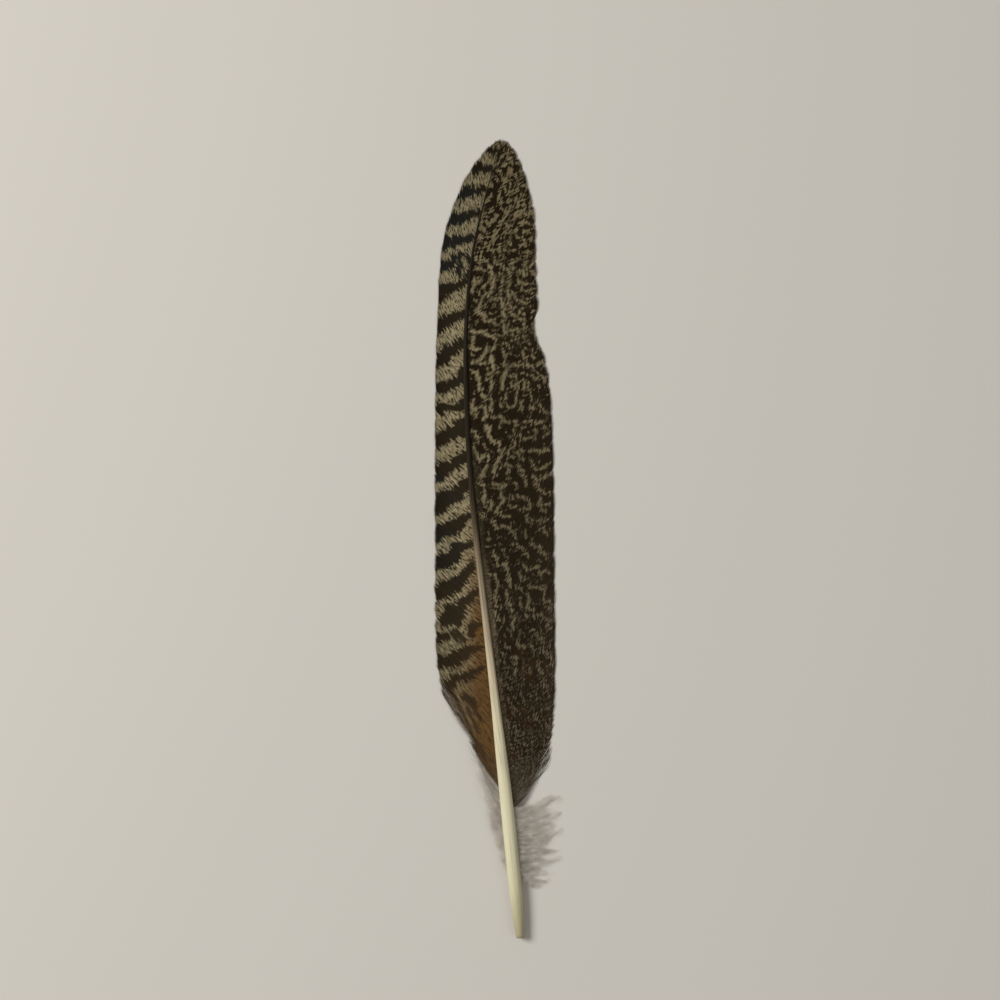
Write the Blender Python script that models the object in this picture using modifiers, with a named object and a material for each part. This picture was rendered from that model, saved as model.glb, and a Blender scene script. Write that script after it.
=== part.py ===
"""A barred wing feather that lies on its underside: quill towards -Y, tip towards +Y, upper side towards +Z.

The feather grew as one piece, so it is one solid: a tapering shaft, a narrow and a wide vane parted into locks, and
the loose down at the foot of each vane. Metres, with the origin under the middle of its box.
"""

import math
import random

import bmesh
import bpy

# Driving dimensions, in metres.
LENGTH = 0.320
ARCH_HEIGHT = 0.003
VANE_THICKNESS = 0.0007
QUILL_FULL_Y = -0.138
ARCH_START_Y = -0.145

# Where the shaft runs, seen from above: (y, x).
SHAFT_COURSE = (
    (-0.1600, 0.0089),
    (-0.1130, 0.0041),
    (-0.0700, -0.0008),
    (-0.0236, -0.0063),
    (0.0121, -0.0101),
    (0.0497, -0.0123),
    (0.0800, -0.0125),
    (0.1104, -0.0099),
    (0.1339, -0.0050),
    (0.1600, 0.0018),
)

# How thick the shaft is: (y, width, height, how square the section is, groove depth as a share of the height).
SHAFT_SIZES = (
    (-0.1600, 0.0030, 0.0030, 0.0, 0.00),
    (-0.1500, 0.0044, 0.0044, 0.0, 0.00),
    (-0.1380, 0.0050, 0.0050, 0.0, 0.00),
    (-0.1130, 0.0050, 0.0050, 0.2, 0.00),
    (-0.0900, 0.0043, 0.0045, 0.6, 0.06),
    (-0.0700, 0.0034, 0.0038, 1.0, 0.12),
    (-0.0450, 0.0027, 0.0032, 1.0, 0.16),
    (-0.0050, 0.0022, 0.0027, 1.0, 0.16),
    (0.0500, 0.0020, 0.0023, 1.0, 0.12),
    (0.1100, 0.0012, 0.0014, 0.6, 0.06),
    (0.1590, 0.0005, 0.0006, 0.0, 0.00),
)
SHAFT_SIDES = 16
SHAFT_RINGS = 46
SQUARE_POWER = 0.72
PIT_RADIUS_SHARE = 0.4
PIT_DEPTH = 0.0012

# How the barbs of each part run: (y where the barb leaves the shaft, y of its tip, reach of its tip from the shaft).
WIDE_VANE = (
    (-0.1150, -0.0960, 0.0186),
    (-0.1030, -0.0740, 0.0234),
    (-0.0710, -0.0350, 0.0283),
    (-0.0310, 0.0100, 0.0331),
    (-0.0010, 0.0430, 0.0344),
    (0.0210, 0.0660, 0.0326),
    (0.0360, 0.0800, 0.0280),
    (0.0470, 0.0910, 0.0288),
    (0.0690, 0.1100, 0.0264),
    (0.0940, 0.1300, 0.0225),
    (0.1190, 0.1470, 0.0145),
    (0.1390, 0.1565, 0.0070),
    (0.1560, 0.1603, 0.0006),
)
NARROW_VANE = (
    (-0.1030, -0.0660, 0.0205),
    (-0.0860, -0.0530, 0.0213),
    (-0.0510, -0.0295, 0.0194),
    (-0.0110, 0.0060, 0.0157),
    (0.0290, 0.0460, 0.0132),
    (0.0640, 0.0830, 0.0123),
    (0.0910, 0.1140, 0.0134),
    (0.1140, 0.1360, 0.0114),
    (0.1340, 0.1510, 0.0070),
    (0.1470, 0.1575, 0.0032),
    (0.1570, 0.1603, 0.0005),
)
WIDE_DOWN = (
    (-0.1420, -0.1440, 0.0120),
    (-0.1340, -0.1330, 0.0175),
    (-0.1250, -0.1200, 0.0200),
    (-0.1170, -0.1100, 0.0190),
)
NARROW_DOWN = (
    (-0.1400, -0.1300, 0.0034),
    (-0.1320, -0.1190, 0.0052),
    (-0.1220, -0.1060, 0.0075),
    (-0.1120, -0.0920, 0.0105),
    (-0.1050, -0.0780, 0.0150),
)

# The locks of each part. A lock of a vane is joined to the next one for a share of its length, and the foot of a vane
# is looser than the rest of it.
WIDE_SIDE, NARROW_SIDE = 1, -1
WIDE_VANE_LOCKS, WIDE_DOWN_LOCKS = 26, 8
NARROW_VANE_LOCKS, NARROW_DOWN_LOCKS = 24, 7
BARB_ROWS = 9
ROOT_OVERLAP = 0.0003
BARB_BEND = 0.18
FLAT_FROM = {WIDE_SIDE: 0.77, NARROW_SIDE: 0.88}
VANE_JOINED = 0.79
VANE_GAP = 0.00035
LOCK_TIP_ROUND = 0.0007
LOOSE_FOOT_LENGTH = 0.045
LOOSE_FOOT_JOINED = 0.52
LOOSE_FOOT_GAP = 0.0009
NOTCH_Y = 0.036
NOTCH_JOINED = 0.62
NOTCH_GAP = 0.0012
DOWN_JOINED = 0.16
DOWN_WIDTH_SHARE = 0.78
DOWN_TIP_SHARE = 0.14
DOWN_WAVE_SHARE = 0.04
DOWN_WAVE_LENGTH = 0.016

HORN_COLOUR = (0.58, 0.53, 0.36, 1.0)
VANE_COLOUR = (0.10, 0.08, 0.055, 1.0)


def smooth(table, y):
    """The other columns of a table at y, on a smooth curve through its rows."""
    last = len(table) - 1
    y = min(max(y, table[0][0]), table[last][0])
    i = max(k for k in range(last) if table[k][0] <= y)
    here, there = table[i], table[i + 1]
    before, after = table[max(i - 1, 0)], table[min(i + 2, last)]
    span = there[0] - here[0]
    t = (y - here[0]) / span
    values = []
    for column in range(1, len(here)):
        slope_here = (there[column] - before[column]) / (there[0] - before[0])
        slope_there = (after[column] - here[column]) / (after[0] - here[0])
        values.append(
            (2 * t**3 - 3 * t**2 + 1) * here[column]
            + (t**3 - 2 * t**2 + t) * span * slope_here
            + (3 * t**2 - 2 * t**3) * there[column]
            + (t**3 - t**2) * span * slope_there
        )
    return values


def shaft_x(y):
    return smooth(SHAFT_COURSE, y)[0]


def arch(y):
    """How high the underside of the shaft stands over the ground."""
    along = (y - ARCH_START_Y) / (LENGTH / 2 - ARCH_START_Y)
    return ARCH_HEIGHT * math.sin(math.pi * min(max(along, 0.0), 1.0)) ** 1.3


def shaft_axis_z(y):
    height = smooth(SHAFT_SIZES, max(y, QUILL_FULL_Y))[1]
    return arch(y) + height / 2


def beside_shaft(y, out):
    """The point that is out to the side of the shaft, square to it, from its axis at y."""
    step = 0.001
    slope = (shaft_x(y + step) - shaft_x(y - step)) / (2 * step)
    length = math.hypot(1.0, slope)
    return shaft_x(y) + out / length, y - out * slope / length


def barb_point(side, barbs, downy, root_y, along):
    """A point of the underside of the barb that leaves the shaft at root_y, a share of its length along."""
    tip_y, reach = smooth(barbs, root_y)
    y = root_y + (tip_y - root_y) * ((1 - BARB_BEND) * along + BARB_BEND * along**2)
    out = -ROOT_OVERLAP + (reach + ROOT_OVERLAP) * along
    if downy:
        wave = DOWN_WAVE_SHARE * reach * along * math.sin(2 * math.pi * (1.2 * along + root_y / DOWN_WAVE_LENGTH))
        y += wave
        out += wave
    x, y = beside_shaft(y, side * out)
    fallen = min(along / FLAT_FROM[side], 1.0)
    share = 0.5 * (1 - fallen) + 0.5 * math.cos(math.pi * fallen / 2) ** 2
    return x, y, shaft_axis_z(root_y) * share


def principled(name, colour, roughness):
    material = bpy.data.materials.new(name)
    material.use_nodes = True
    shader = material.node_tree.nodes["Principled BSDF"]
    shader.inputs["Base Color"].default_value = colour
    shader.inputs["Roughness"].default_value = roughness
    return material


def add_object(name, mesh, material, collection):
    mesh.materials.append(material)
    obj = bpy.data.objects.new(name, mesh)
    collection.objects.link(obj)
    return obj


def section(y, shrink=1.0):
    """The ring of points round the shaft at y: round at the quill, square and grooved below along the vanes."""
    width, height, square, groove = smooth(SHAFT_SIZES, y)
    power = 1 - (1 - SQUARE_POWER) * square
    points = []
    for k in range(SHAFT_SIDES):
        angle = 2 * math.pi * k / SHAFT_SIDES
        across = math.copysign(abs(math.cos(angle)) ** power, math.cos(angle))
        up = math.copysign(abs(math.sin(angle)) ** power, math.sin(angle))
        if up < -0.99:
            up += 2 * groove
        x, place_y = beside_shaft(y, shrink * across * width / 2)
        points.append((x, place_y, shaft_axis_z(y) + shrink * up * height / 2))
    return points


def build_shaft(material, collection):
    """The shaft as a loft of rings, with a small pit in the end of the quill."""
    bm = bmesh.new()
    foot, top = SHAFT_SIZES[0][0], SHAFT_SIZES[-1][0]
    rings = []
    for pit_y, shrink in ((foot + PIT_DEPTH, PIT_RADIUS_SHARE * 0.6), (foot, PIT_RADIUS_SHARE)):
        rings.append(section(pit_y, shrink))
    for k in range(SHAFT_RINGS):
        rings.append(section(foot + (top - foot) * k / (SHAFT_RINGS - 1)))
    loops = [[bm.verts.new(point) for point in ring] for ring in rings]
    for lower, upper in zip(loops, loops[1:]):
        for k in range(SHAFT_SIDES):
            n = (k + 1) % SHAFT_SIDES
            bm.faces.new((lower[k], lower[n], upper[n], upper[k]))
    bm.faces.new(loops[0])
    bm.faces.new(loops[-1])
    bmesh.ops.recalc_face_normals(bm, faces=bm.faces)
    mesh = bpy.data.meshes.new("feather")
    bm.to_mesh(mesh)
    bm.free()
    mesh.shade_smooth()
    return add_object("feather", mesh, material, collection)


def lock_edges(side, barbs, locks, downy, chance):
    """Where each lock meets the next: its y on the shaft, the share where they part, and the gap at the margin."""
    low, high = barbs[0][0], barbs[-1][0]
    pitch = (high - low) / locks
    edges = []
    for k in range(locks + 1):
        inner = 0 < k < locks
        y = low + pitch * (k + (chance.uniform(-0.15, 0.15) if inner else 0.0))
        loose = max(0.0, 1 - (y - low) / LOOSE_FOOT_LENGTH)
        joined = VANE_JOINED + (LOOSE_FOOT_JOINED - VANE_JOINED) * loose + chance.uniform(-0.06, 0.10)
        gap = (VANE_GAP + (LOOSE_FOOT_GAP - VANE_GAP) * loose) * chance.uniform(0.6, 1.6)
        if downy:
            joined = DOWN_JOINED
        elif side == WIDE_SIDE and abs(y - NOTCH_Y) <= pitch / 2:
            joined, gap = NOTCH_JOINED, NOTCH_GAP
        edges.append({"y": y, "joined": joined, "gap": gap, "shared": {}})
    return edges


def build_locks(bm, side, barbs, locks, downy, chance):
    """One part of a vane as an open sheet: neighbouring locks share their points up to where they part."""

    def border(edge, centre_y, row):
        along = row / BARB_ROWS
        if row in edge["shared"]:
            return edge["shared"][row]
        x, y, z = barb_point(side, barbs, downy, edge["y"], along)
        beyond = (along - edge["joined"]) / (1 - edge["joined"])
        if beyond <= 0:
            edge["shared"][row] = bm.verts.new((x, y, z))
            return edge["shared"][row]
        middle = barb_point(side, barbs, downy, centre_y, along)
        if downy:
            narrowing = 1 - (1 - DOWN_WIDTH_SHARE) * min(5 * beyond, 1.0)
            pull = 1 - narrowing * math.sqrt(1 - (1 - DOWN_TIP_SHARE**2) * beyond**2)
        else:
            half_width = math.hypot(middle[0] - x, middle[1] - y)
            pull = min((edge["gap"] * beyond + 0.5 * LOCK_TIP_ROUND * beyond**6) / half_width, 0.45)
            x -= side * LOCK_TIP_ROUND * beyond**4
        drawn_in = [start + (end - start) * pull for start, end in zip((x, y, z), middle)]
        return bm.verts.new(drawn_in)

    edges = lock_edges(side, barbs, locks, downy, chance)
    for low, high in zip(edges, edges[1:]):
        centre_y = (low["y"] + high["y"]) / 2
        columns = ([], [], [])
        for row in range(BARB_ROWS + 1):
            columns[0].append(border(low, centre_y, row))
            columns[1].append(bm.verts.new(barb_point(side, barbs, downy, centre_y, row / BARB_ROWS)))
            columns[2].append(border(high, centre_y, row))
        for left, right in zip(columns, columns[1:]):
            for row in range(BARB_ROWS):
                corners = (left[row], right[row], right[row + 1], left[row + 1])
                bm.faces.new(corners if side == NARROW_SIDE else corners[::-1])


def build_side(name, side, vane, vane_locks, down, down_locks, material, collection):
    """The vane and the down of one side, as thick as the barbs and open only until they are joined to the shaft."""
    chance = random.Random(name)
    bm = bmesh.new()
    build_locks(bm, side, vane, vane_locks, False, chance)
    build_locks(bm, side, down, down_locks, True, chance)
    mesh = bpy.data.meshes.new(name)
    bm.to_mesh(mesh)
    bm.free()
    obj = add_object(name, mesh, material, collection)
    solidify = obj.modifiers.new("thickness", "SOLIDIFY")
    solidify.thickness = VANE_THICKNESS
    solidify.offset = 1.0
    obj.hide_render = True
    obj.display_type = "WIRE"
    return obj


def main():
    for obj in list(bpy.data.objects):
        bpy.data.objects.remove(obj, do_unlink=True)
    collection = bpy.data.collections.new("barred_feather")
    bpy.context.scene.collection.children.link(collection)
    joined = bpy.data.collections.new("joined_to_the_shaft")
    bpy.context.scene.collection.children.link(joined)
    horn = principled("horn", HORN_COLOUR, 0.35)
    barbs = principled("barbs", VANE_COLOUR, 0.75)
    feather = build_shaft(horn, collection)
    sides = (
        build_side(
            "wide_side", WIDE_SIDE, WIDE_VANE, WIDE_VANE_LOCKS, WIDE_DOWN, WIDE_DOWN_LOCKS, barbs, joined
        ),
        build_side(
            "narrow_side", NARROW_SIDE, NARROW_VANE, NARROW_VANE_LOCKS, NARROW_DOWN, NARROW_DOWN_LOCKS, barbs, joined
        ),
    )
    for half in sides:
        union = feather.modifiers.new(half.name, "BOOLEAN")
        union.operation = "UNION"
        union.object = half


main()
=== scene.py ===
"""The barred wing feather with its looks: quill, two vanes laid barb by barb, and the down at their feet.

Metres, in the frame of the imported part: the quill points towards -Y, the tip towards +Y, the upper side up.
"""

import math
import random

import bpy
import numpy as np
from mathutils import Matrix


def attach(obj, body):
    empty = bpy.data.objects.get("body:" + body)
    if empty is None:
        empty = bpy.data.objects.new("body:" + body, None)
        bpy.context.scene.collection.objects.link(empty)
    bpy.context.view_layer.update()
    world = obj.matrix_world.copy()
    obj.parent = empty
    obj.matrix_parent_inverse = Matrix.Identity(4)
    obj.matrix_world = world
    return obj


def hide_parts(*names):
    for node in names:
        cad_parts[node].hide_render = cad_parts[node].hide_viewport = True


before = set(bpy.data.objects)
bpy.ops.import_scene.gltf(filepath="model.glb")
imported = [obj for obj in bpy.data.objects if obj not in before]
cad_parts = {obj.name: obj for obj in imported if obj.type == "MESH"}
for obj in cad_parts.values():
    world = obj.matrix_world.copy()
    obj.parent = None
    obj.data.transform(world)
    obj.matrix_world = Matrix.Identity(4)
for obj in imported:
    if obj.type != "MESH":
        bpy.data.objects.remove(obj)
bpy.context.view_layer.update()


# The camera: above the feather and a little towards the quill, as in the photograph. It comes first, because
# the markings of the vanes are set out by where they show in the photograph.
PHOTO_SIDE = 1000
LENS = 50.0
SENSOR_WIDTH = 36.0
FOCAL_PIXELS = LENS / SENSOR_WIDTH * PHOTO_SIDE
CAMERA_PLACE = (0.0012, -0.0684, 0.5502)
CAMERA_TILT = math.radians(8)

camera = bpy.data.cameras.new("camera")
camera.lens = LENS
camera.sensor_width = SENSOR_WIDTH
camera.clip_start = 0.01
camera_object = bpy.data.objects.new("camera", camera)
camera_object.location = CAMERA_PLACE
camera_object.rotation_euler = (CAMERA_TILT, 0.0, 0.0)
bpy.context.scene.collection.objects.link(camera_object)
bpy.context.scene.camera = camera_object


# The quill and shaft: one rod of horn that the whole feather grew from, round and bare where it sat in the
# skin, with the pit that fed it in its end. Along the vanes it turns square, with a groove underneath. The
# horn is ivory at the foot and takes in more and more dark pigment on its way to the tip.
LENGTH = 0.320
ARCH_HEIGHT = 0.003
ARCH_START_Y = -0.145
QUILL_FULL_Y = -0.138

# Where the shaft runs, seen from above: (y, x).
SHAFT_COURSE = (
    (-0.1600, 0.0089),
    (-0.1130, 0.0041),
    (-0.0700, -0.0008),
    (-0.0236, -0.0063),
    (0.0121, -0.0101),
    (0.0497, -0.0123),
    (0.0800, -0.0125),
    (0.1104, -0.0099),
    (0.1339, -0.0050),
    (0.1600, 0.0018),
)

# How thick the shaft is: (y, width, height, how square it is, depth of the groove as a share of the height).
SHAFT_SIZES = (
    (-0.1600, 0.0030, 0.0030, 0.0, 0.00),
    (-0.1500, 0.0044, 0.0044, 0.0, 0.00),
    (-0.1380, 0.0050, 0.0050, 0.0, 0.00),
    (-0.1130, 0.0050, 0.0050, 0.2, 0.00),
    (-0.0900, 0.0043, 0.0045, 0.6, 0.06),
    (-0.0700, 0.0034, 0.0038, 1.0, 0.12),
    (-0.0450, 0.0027, 0.0032, 1.0, 0.16),
    (-0.0050, 0.0022, 0.0027, 1.0, 0.16),
    (0.0500, 0.0020, 0.0023, 1.0, 0.12),
    (0.1100, 0.0012, 0.0014, 0.6, 0.06),
    (0.1590, 0.0005, 0.0006, 0.0, 0.00),
)
SHAFT_SIDES = 32
SHAFT_RINGS = 260
SQUARE_POWER = 0.72
GROOVE_SPREAD = 0.35

# The pit in the end of the quill, from its bottom out to its rim: (depth, share of the quill's radius).
QUILL_PIT = ((0.0012, 0.22), (0.0011, 0.34), (0.0003, 0.42), (0.0, 0.52), (0.0, 0.82))


def smooth(table, y):
    """The other columns of a table at y, on a smooth curve through its rows. y may have any shape."""
    rows = np.array(table)
    y = np.clip(y, rows[0, 0], rows[-1, 0])
    here = np.clip(np.searchsorted(rows[:, 0], y, side="right") - 1, 0, len(rows) - 2)
    there = here + 1
    before = np.maximum(here - 1, 0)
    after = np.minimum(here + 2, len(rows) - 1)
    span = (rows[there, 0] - rows[here, 0])[..., None]
    t = (y - rows[here, 0])[..., None] / span
    slope_here = (rows[there, 1:] - rows[before, 1:]) / (rows[there, 0] - rows[before, 0])[..., None]
    slope_there = (rows[after, 1:] - rows[here, 1:]) / (rows[after, 0] - rows[here, 0])[..., None]
    return (
        (2 * t**3 - 3 * t**2 + 1) * rows[here, 1:]
        + (t**3 - 2 * t**2 + t) * span * slope_here
        + (3 * t**2 - 2 * t**3) * rows[there, 1:]
        + (t**3 - t**2) * span * slope_there
    )


def shaft_x(y):
    return smooth(SHAFT_COURSE, y)[..., 0]


def shaft_axis_z(y):
    """The height of the shaft's axis: the quill lies on the ground and the rest stands on a low arch."""
    along = np.clip((y - ARCH_START_Y) / (LENGTH / 2 - ARCH_START_Y), 0.0, 1.0)
    arch = ARCH_HEIGHT * np.sin(math.pi * along) ** 1.3
    return arch + smooth(SHAFT_SIZES, np.maximum(y, QUILL_FULL_Y))[..., 1] / 2


def shaft_slope(y):
    """How the shaft runs sideways at y, and how long a unit of y is along it."""
    step = 0.001
    slope = (shaft_x(y + step) - shaft_x(y - step)) / (2 * step)
    return slope, np.hypot(1.0, slope)


def beside_shaft(y, out):
    """The point that is out to the side of the shaft, square to it, from its axis at y."""
    slope, length = shaft_slope(y)
    return shaft_x(y) + out / length, y - out * slope / length


def shaft_rings(y, shrink):
    """The rings of points round the shaft at each y, and how far round and along it each point lies."""
    width, height, square, groove = np.moveaxis(smooth(SHAFT_SIZES, y), -1, 0)[..., None]
    angle = 2 * math.pi * np.arange(SHAFT_SIDES) / SHAFT_SIDES
    power = 1 - (1 - SQUARE_POWER) * square
    across = np.sign(np.cos(angle)) * np.abs(np.cos(angle)) ** power
    up = np.sign(np.sin(angle)) * np.abs(np.sin(angle)) ** power
    from_below = np.arctan2(np.cos(angle), -np.sin(angle))
    up = up + 2 * groove * np.exp(-((from_below / GROOVE_SPREAD) ** 2))
    x, place_y = beside_shaft(y[:, None], shrink[:, None] * across * width / 2)
    z = shaft_axis_z(y)[:, None] + shrink[:, None] * up * height / 2
    points = np.stack([x, place_y, z], axis=-1)
    round_and_along = np.stack([angle * width / 2, y[:, None] + 0 * angle, 0 * x], axis=-1)
    return points, round_and_along


def make_piece(name, points, faces, map_places, marks, material):
    """A mesh object from points, faces, each face corner's place on the flat map, and marks at the points."""
    mesh = bpy.data.meshes.new(name)
    mesh.from_pydata(points.tolist(), [], faces)
    flat_map = mesh.uv_layers.new(name="OFBake")
    flat_map.data.foreach_set("uv", np.ascontiguousarray(map_places, np.float32).ravel())
    for mark, values in marks.items():
        kind, field = ("FLOAT_VECTOR", "vector") if values.ndim == 2 else ("FLOAT", "value")
        attribute = mesh.attributes.new(mark, kind, "POINT")
        attribute.data.foreach_set(field, np.ascontiguousarray(values, np.float32).ravel())
    mesh.materials.append(material)
    piece = bpy.data.objects.new(name, mesh)
    bpy.context.scene.collection.objects.link(piece)
    return piece


def add_node(tree, kind, inputs=None, **settings):
    """A shader node with its settings. Each input is a value, or the output of another node."""
    node = tree.nodes.new(kind)
    node.location = (200 * (len(tree.nodes) % 12), -260 * (len(tree.nodes) // 12))
    for setting, value in settings.items():
        setattr(node, setting, value)
    for socket, value in (inputs or {}).items():
        if isinstance(value, bpy.types.NodeSocket):
            tree.links.new(value, node.inputs[socket])
        else:
            node.inputs[socket].default_value = value
    return node


def read_mark(tree, mark, output="Fac"):
    """A mark that the mesh carries at its points: a number, or with the output Vector a place."""
    return add_node(tree, "ShaderNodeAttribute", attribute_name=mark).outputs[output]


def calculate(tree, operation, first, second=0.0):
    return add_node(tree, "ShaderNodeMath", {0: first, 1: second}, operation=operation).outputs[0]


def stretch(tree, value, low, high, to_low=0.0, to_high=1.0):
    """The value from low to high, spread over a new range and held at its ends."""
    inputs = {"Value": value, "From Min": low, "From Max": high, "To Min": to_low, "To Max": to_high}
    return add_node(tree, "ShaderNodeMapRange", inputs).outputs[0]


def blend_colours(tree, share, first, second, how="MIX"):
    inputs = {0: share, 6: first, 7: second}
    return add_node(tree, "ShaderNodeMix", inputs, data_type="RGBA", blend_type=how).outputs[2]


def new_group(name, inputs, outputs):
    """An empty shader group with named sockets, and its two end nodes."""
    group = bpy.data.node_groups.new(name, "ShaderNodeTree")
    for label, kind in inputs.items():
        group.interface.new_socket(label, in_out="INPUT", socket_type=kind)
    for label, kind in outputs.items():
        group.interface.new_socket(label, in_out="OUTPUT", socket_type=kind)
    return group, group.nodes.new("NodeGroupInput"), group.nodes.new("NodeGroupOutput")


def use_group(tree, group, inputs):
    return add_node(tree, "ShaderNodeGroup", inputs, node_tree=group).outputs[0]


def new_material(name):
    """A material with its node tree and its one surface shader."""
    material = bpy.data.materials.new(name)
    material.use_nodes = True
    return material, material.node_tree, material.node_tree.nodes["Principled BSDF"]


# Fine long streaks, as horn and barbs both show them: noise that is drawn out along the strand.
fine_streaks, group_in, group_out = new_group(
    "fine_streaks",
    {"Place": "NodeSocketVector", "Width": "NodeSocketFloat", "Length": "NodeSocketFloat"},
    {"Streak": "NodeSocketFloat"},
)
streak_size = add_node(
    fine_streaks,
    "ShaderNodeCombineXYZ",
    {"X": group_in.outputs["Width"], "Y": group_in.outputs["Length"], "Z": 1.0},
)
streak_place = add_node(
    fine_streaks,
    "ShaderNodeVectorMath",
    {0: group_in.outputs["Place"], 1: streak_size.outputs[0]},
    operation="DIVIDE",
)
streak_noise = add_node(
    fine_streaks,
    "ShaderNodeTexNoise",
    {"Vector": streak_place.outputs[0], "Scale": 1.0, "Detail": 1.5, "Roughness": 0.6},
    noise_dimensions="2D",
)
fine_streaks.links.new(
    stretch(fine_streaks, streak_noise.outputs[0], 0.28, 0.72), group_out.inputs["Streak"]
)

horn, tree, shader = new_material("quill_horn")
horn_place = read_mark(tree, "round_and_along", "Vector")
horn_xyz = add_node(tree, "ShaderNodeSeparateXYZ", {0: horn_place})
horn_share = stretch(tree, horn_xyz.outputs["Y"], -LENGTH / 2, LENGTH / 2)
streak = use_group(tree, fine_streaks, {"Place": horn_place, "Width": 0.00035, "Length": 0.02})
uneven_share = calculate(tree, "ADD", horn_share, stretch(tree, streak, 0, 1, -0.012, 0.012))
ramp = add_node(tree, "ShaderNodeValToRGB", {0: uneven_share})
HORN_COLOURS = (
    (0.00, (0.34, 0.30, 0.18)),
    (0.05, (0.54, 0.50, 0.32)),
    (0.09, (0.62, 0.58, 0.39)),
    (0.22, (0.62, 0.57, 0.39)),
    (0.30, (0.52, 0.45, 0.30)),
    (0.36, (0.38, 0.31, 0.20)),
    (0.42, (0.25, 0.200, 0.13)),
    (0.46, (0.15, 0.115, 0.072)),
    (0.49, (0.075, 0.055, 0.030)),
    (0.53, (0.024, 0.017, 0.009)),
    (0.58, (0.013, 0.009, 0.005)),
    (1.00, (0.011, 0.008, 0.005)),
)
while len(ramp.color_ramp.elements) < len(HORN_COLOURS):
    ramp.color_ramp.elements.new(0.5)
for element, (share, colour) in zip(ramp.color_ramp.elements, HORN_COLOURS):
    element.position = share
    element.color = (*colour, 1.0)
darker = stretch(tree, streak, 0.55, 1.0, 0.0, 0.35)
colour = blend_colours(tree, darker, ramp.outputs[0], (0.30, 0.24, 0.15, 1), "MULTIPLY")
tree.links.new(colour, shader.inputs["Base Color"])
horn_roughness = stretch(tree, horn_share, 0.45, 0.60, 0.34, 0.62)
horn_roughness = calculate(tree, "ADD", horn_roughness, stretch(tree, streak, 0, 1, -0.05, 0.05))
tree.links.new(horn_roughness, shader.inputs["Roughness"])
tree.links.new(stretch(tree, horn_share, 0.50, 0.40, 0.0, 0.35), shader.inputs["Coat Weight"])
shader.inputs["Coat Roughness"].default_value = 0.3
shader.inputs["Specular IOR Level"].default_value = 0.12
shader.inputs["Specular Tint"].default_value = (1.0, 0.85, 0.65, 1.0)
horn_bump = add_node(tree, "ShaderNodeBump", {"Height": streak, "Distance": 0.00003, "Strength": 0.6})
tree.links.new(horn_bump.outputs[0], shader.inputs["Normal"])
shader.inputs["Subsurface Weight"].default_value = 0.15
shader.inputs["Subsurface Radius"].default_value = (0.0012, 0.0009, 0.0005)
shader.inputs["Subsurface Scale"].default_value = 1.0

foot, top = SHAFT_SIZES[0][0], SHAFT_SIZES[-1][0]
ring_y = np.concatenate([[foot + depth for depth, _ in QUILL_PIT], np.linspace(foot, top, SHAFT_RINGS)])
ring_shrink = np.concatenate([[share for _, share in QUILL_PIT], np.ones(SHAFT_RINGS)])
points, round_and_along = shaft_rings(ring_y, ring_shrink)
ring_count = len(ring_y)
pit_bottom, tip_end = points[0].mean(axis=0), points[-1].mean(axis=0)
tip_end[1] += 0.0002
around = np.arange(SHAFT_SIDES)
next_around = (around + 1) % SHAFT_SIDES
ring = (np.arange(ring_count - 1) * SHAFT_SIDES)[:, None]
next_ring = ring + SHAFT_SIDES
quads = np.stack(
    [ring + around, ring + next_around, next_ring + next_around, next_ring + around], axis=-1
).reshape(-1, 4)
bottom, end = ring_count * SHAFT_SIDES, ring_count * SHAFT_SIDES + 1
last = (ring_count - 1) * SHAFT_SIDES
bottom_fan = np.stack([np.full(SHAFT_SIDES, bottom), next_around, around], axis=-1)
end_fan = np.stack([np.full(SHAFT_SIDES, end), last + around, last + next_around], axis=-1)
map_u = np.stack([around, around + 1, around + 1, around], axis=-1) / SHAFT_SIDES
map_v = 0.01 + 0.98 * np.arange(ring_count) / (ring_count - 1)
quad_u = np.broadcast_to(map_u, (ring_count - 1, SHAFT_SIDES, 4))
quad_v = np.stack([map_v[:-1], map_v[:-1], map_v[1:], map_v[1:]], axis=-1)[:, None]
quad_v = np.broadcast_to(quad_v, quad_u.shape)
fan_u = np.stack([around + 0.5, around + 1, around], axis=-1) / SHAFT_SIDES
bottom_map = np.stack([fan_u, np.broadcast_to([0.0, 0.01, 0.01], fan_u.shape)], axis=-1)
fan_u = np.stack([around + 0.5, around, around + 1], axis=-1) / SHAFT_SIDES
end_map = np.stack([fan_u, np.broadcast_to([1.0, 0.99, 0.99], fan_u.shape)], axis=-1)
quad_map = np.stack([quad_u, quad_v], axis=-1)
quill_points = np.concatenate([points.reshape(-1, 3), [pit_bottom, tip_end]])
quill_marks = np.concatenate(
    [round_and_along.reshape(-1, 3), round_and_along[0, :1], round_and_along[-1, :1]]
)
quill = make_piece(
    "quill_and_shaft",
    quill_points,
    quads.tolist() + bottom_fan.tolist() + end_fan.tolist(),
    np.concatenate([places.reshape(-1, 2) for places in (quad_map, bottom_map, end_map)]),
    {"round_and_along": quill_marks},
    horn,
)
quill.data.shade_smooth()
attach(quill, "root")
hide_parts("feather")


# The narrow vane, on the side that met the wind: some five hundred stiff barbs, hooked into one sheet and
# parted here and there into locks. Cream, with dark bars that climb to the shaft, and fox red beside the pale
# shaft. Each barb grew its own length of each bar, a little out of line with the next: the bars are ragged.
WIDE_SIDE, NARROW_SIDE = 1, -1
NARROW_VANE_LOCKS = 24

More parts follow.
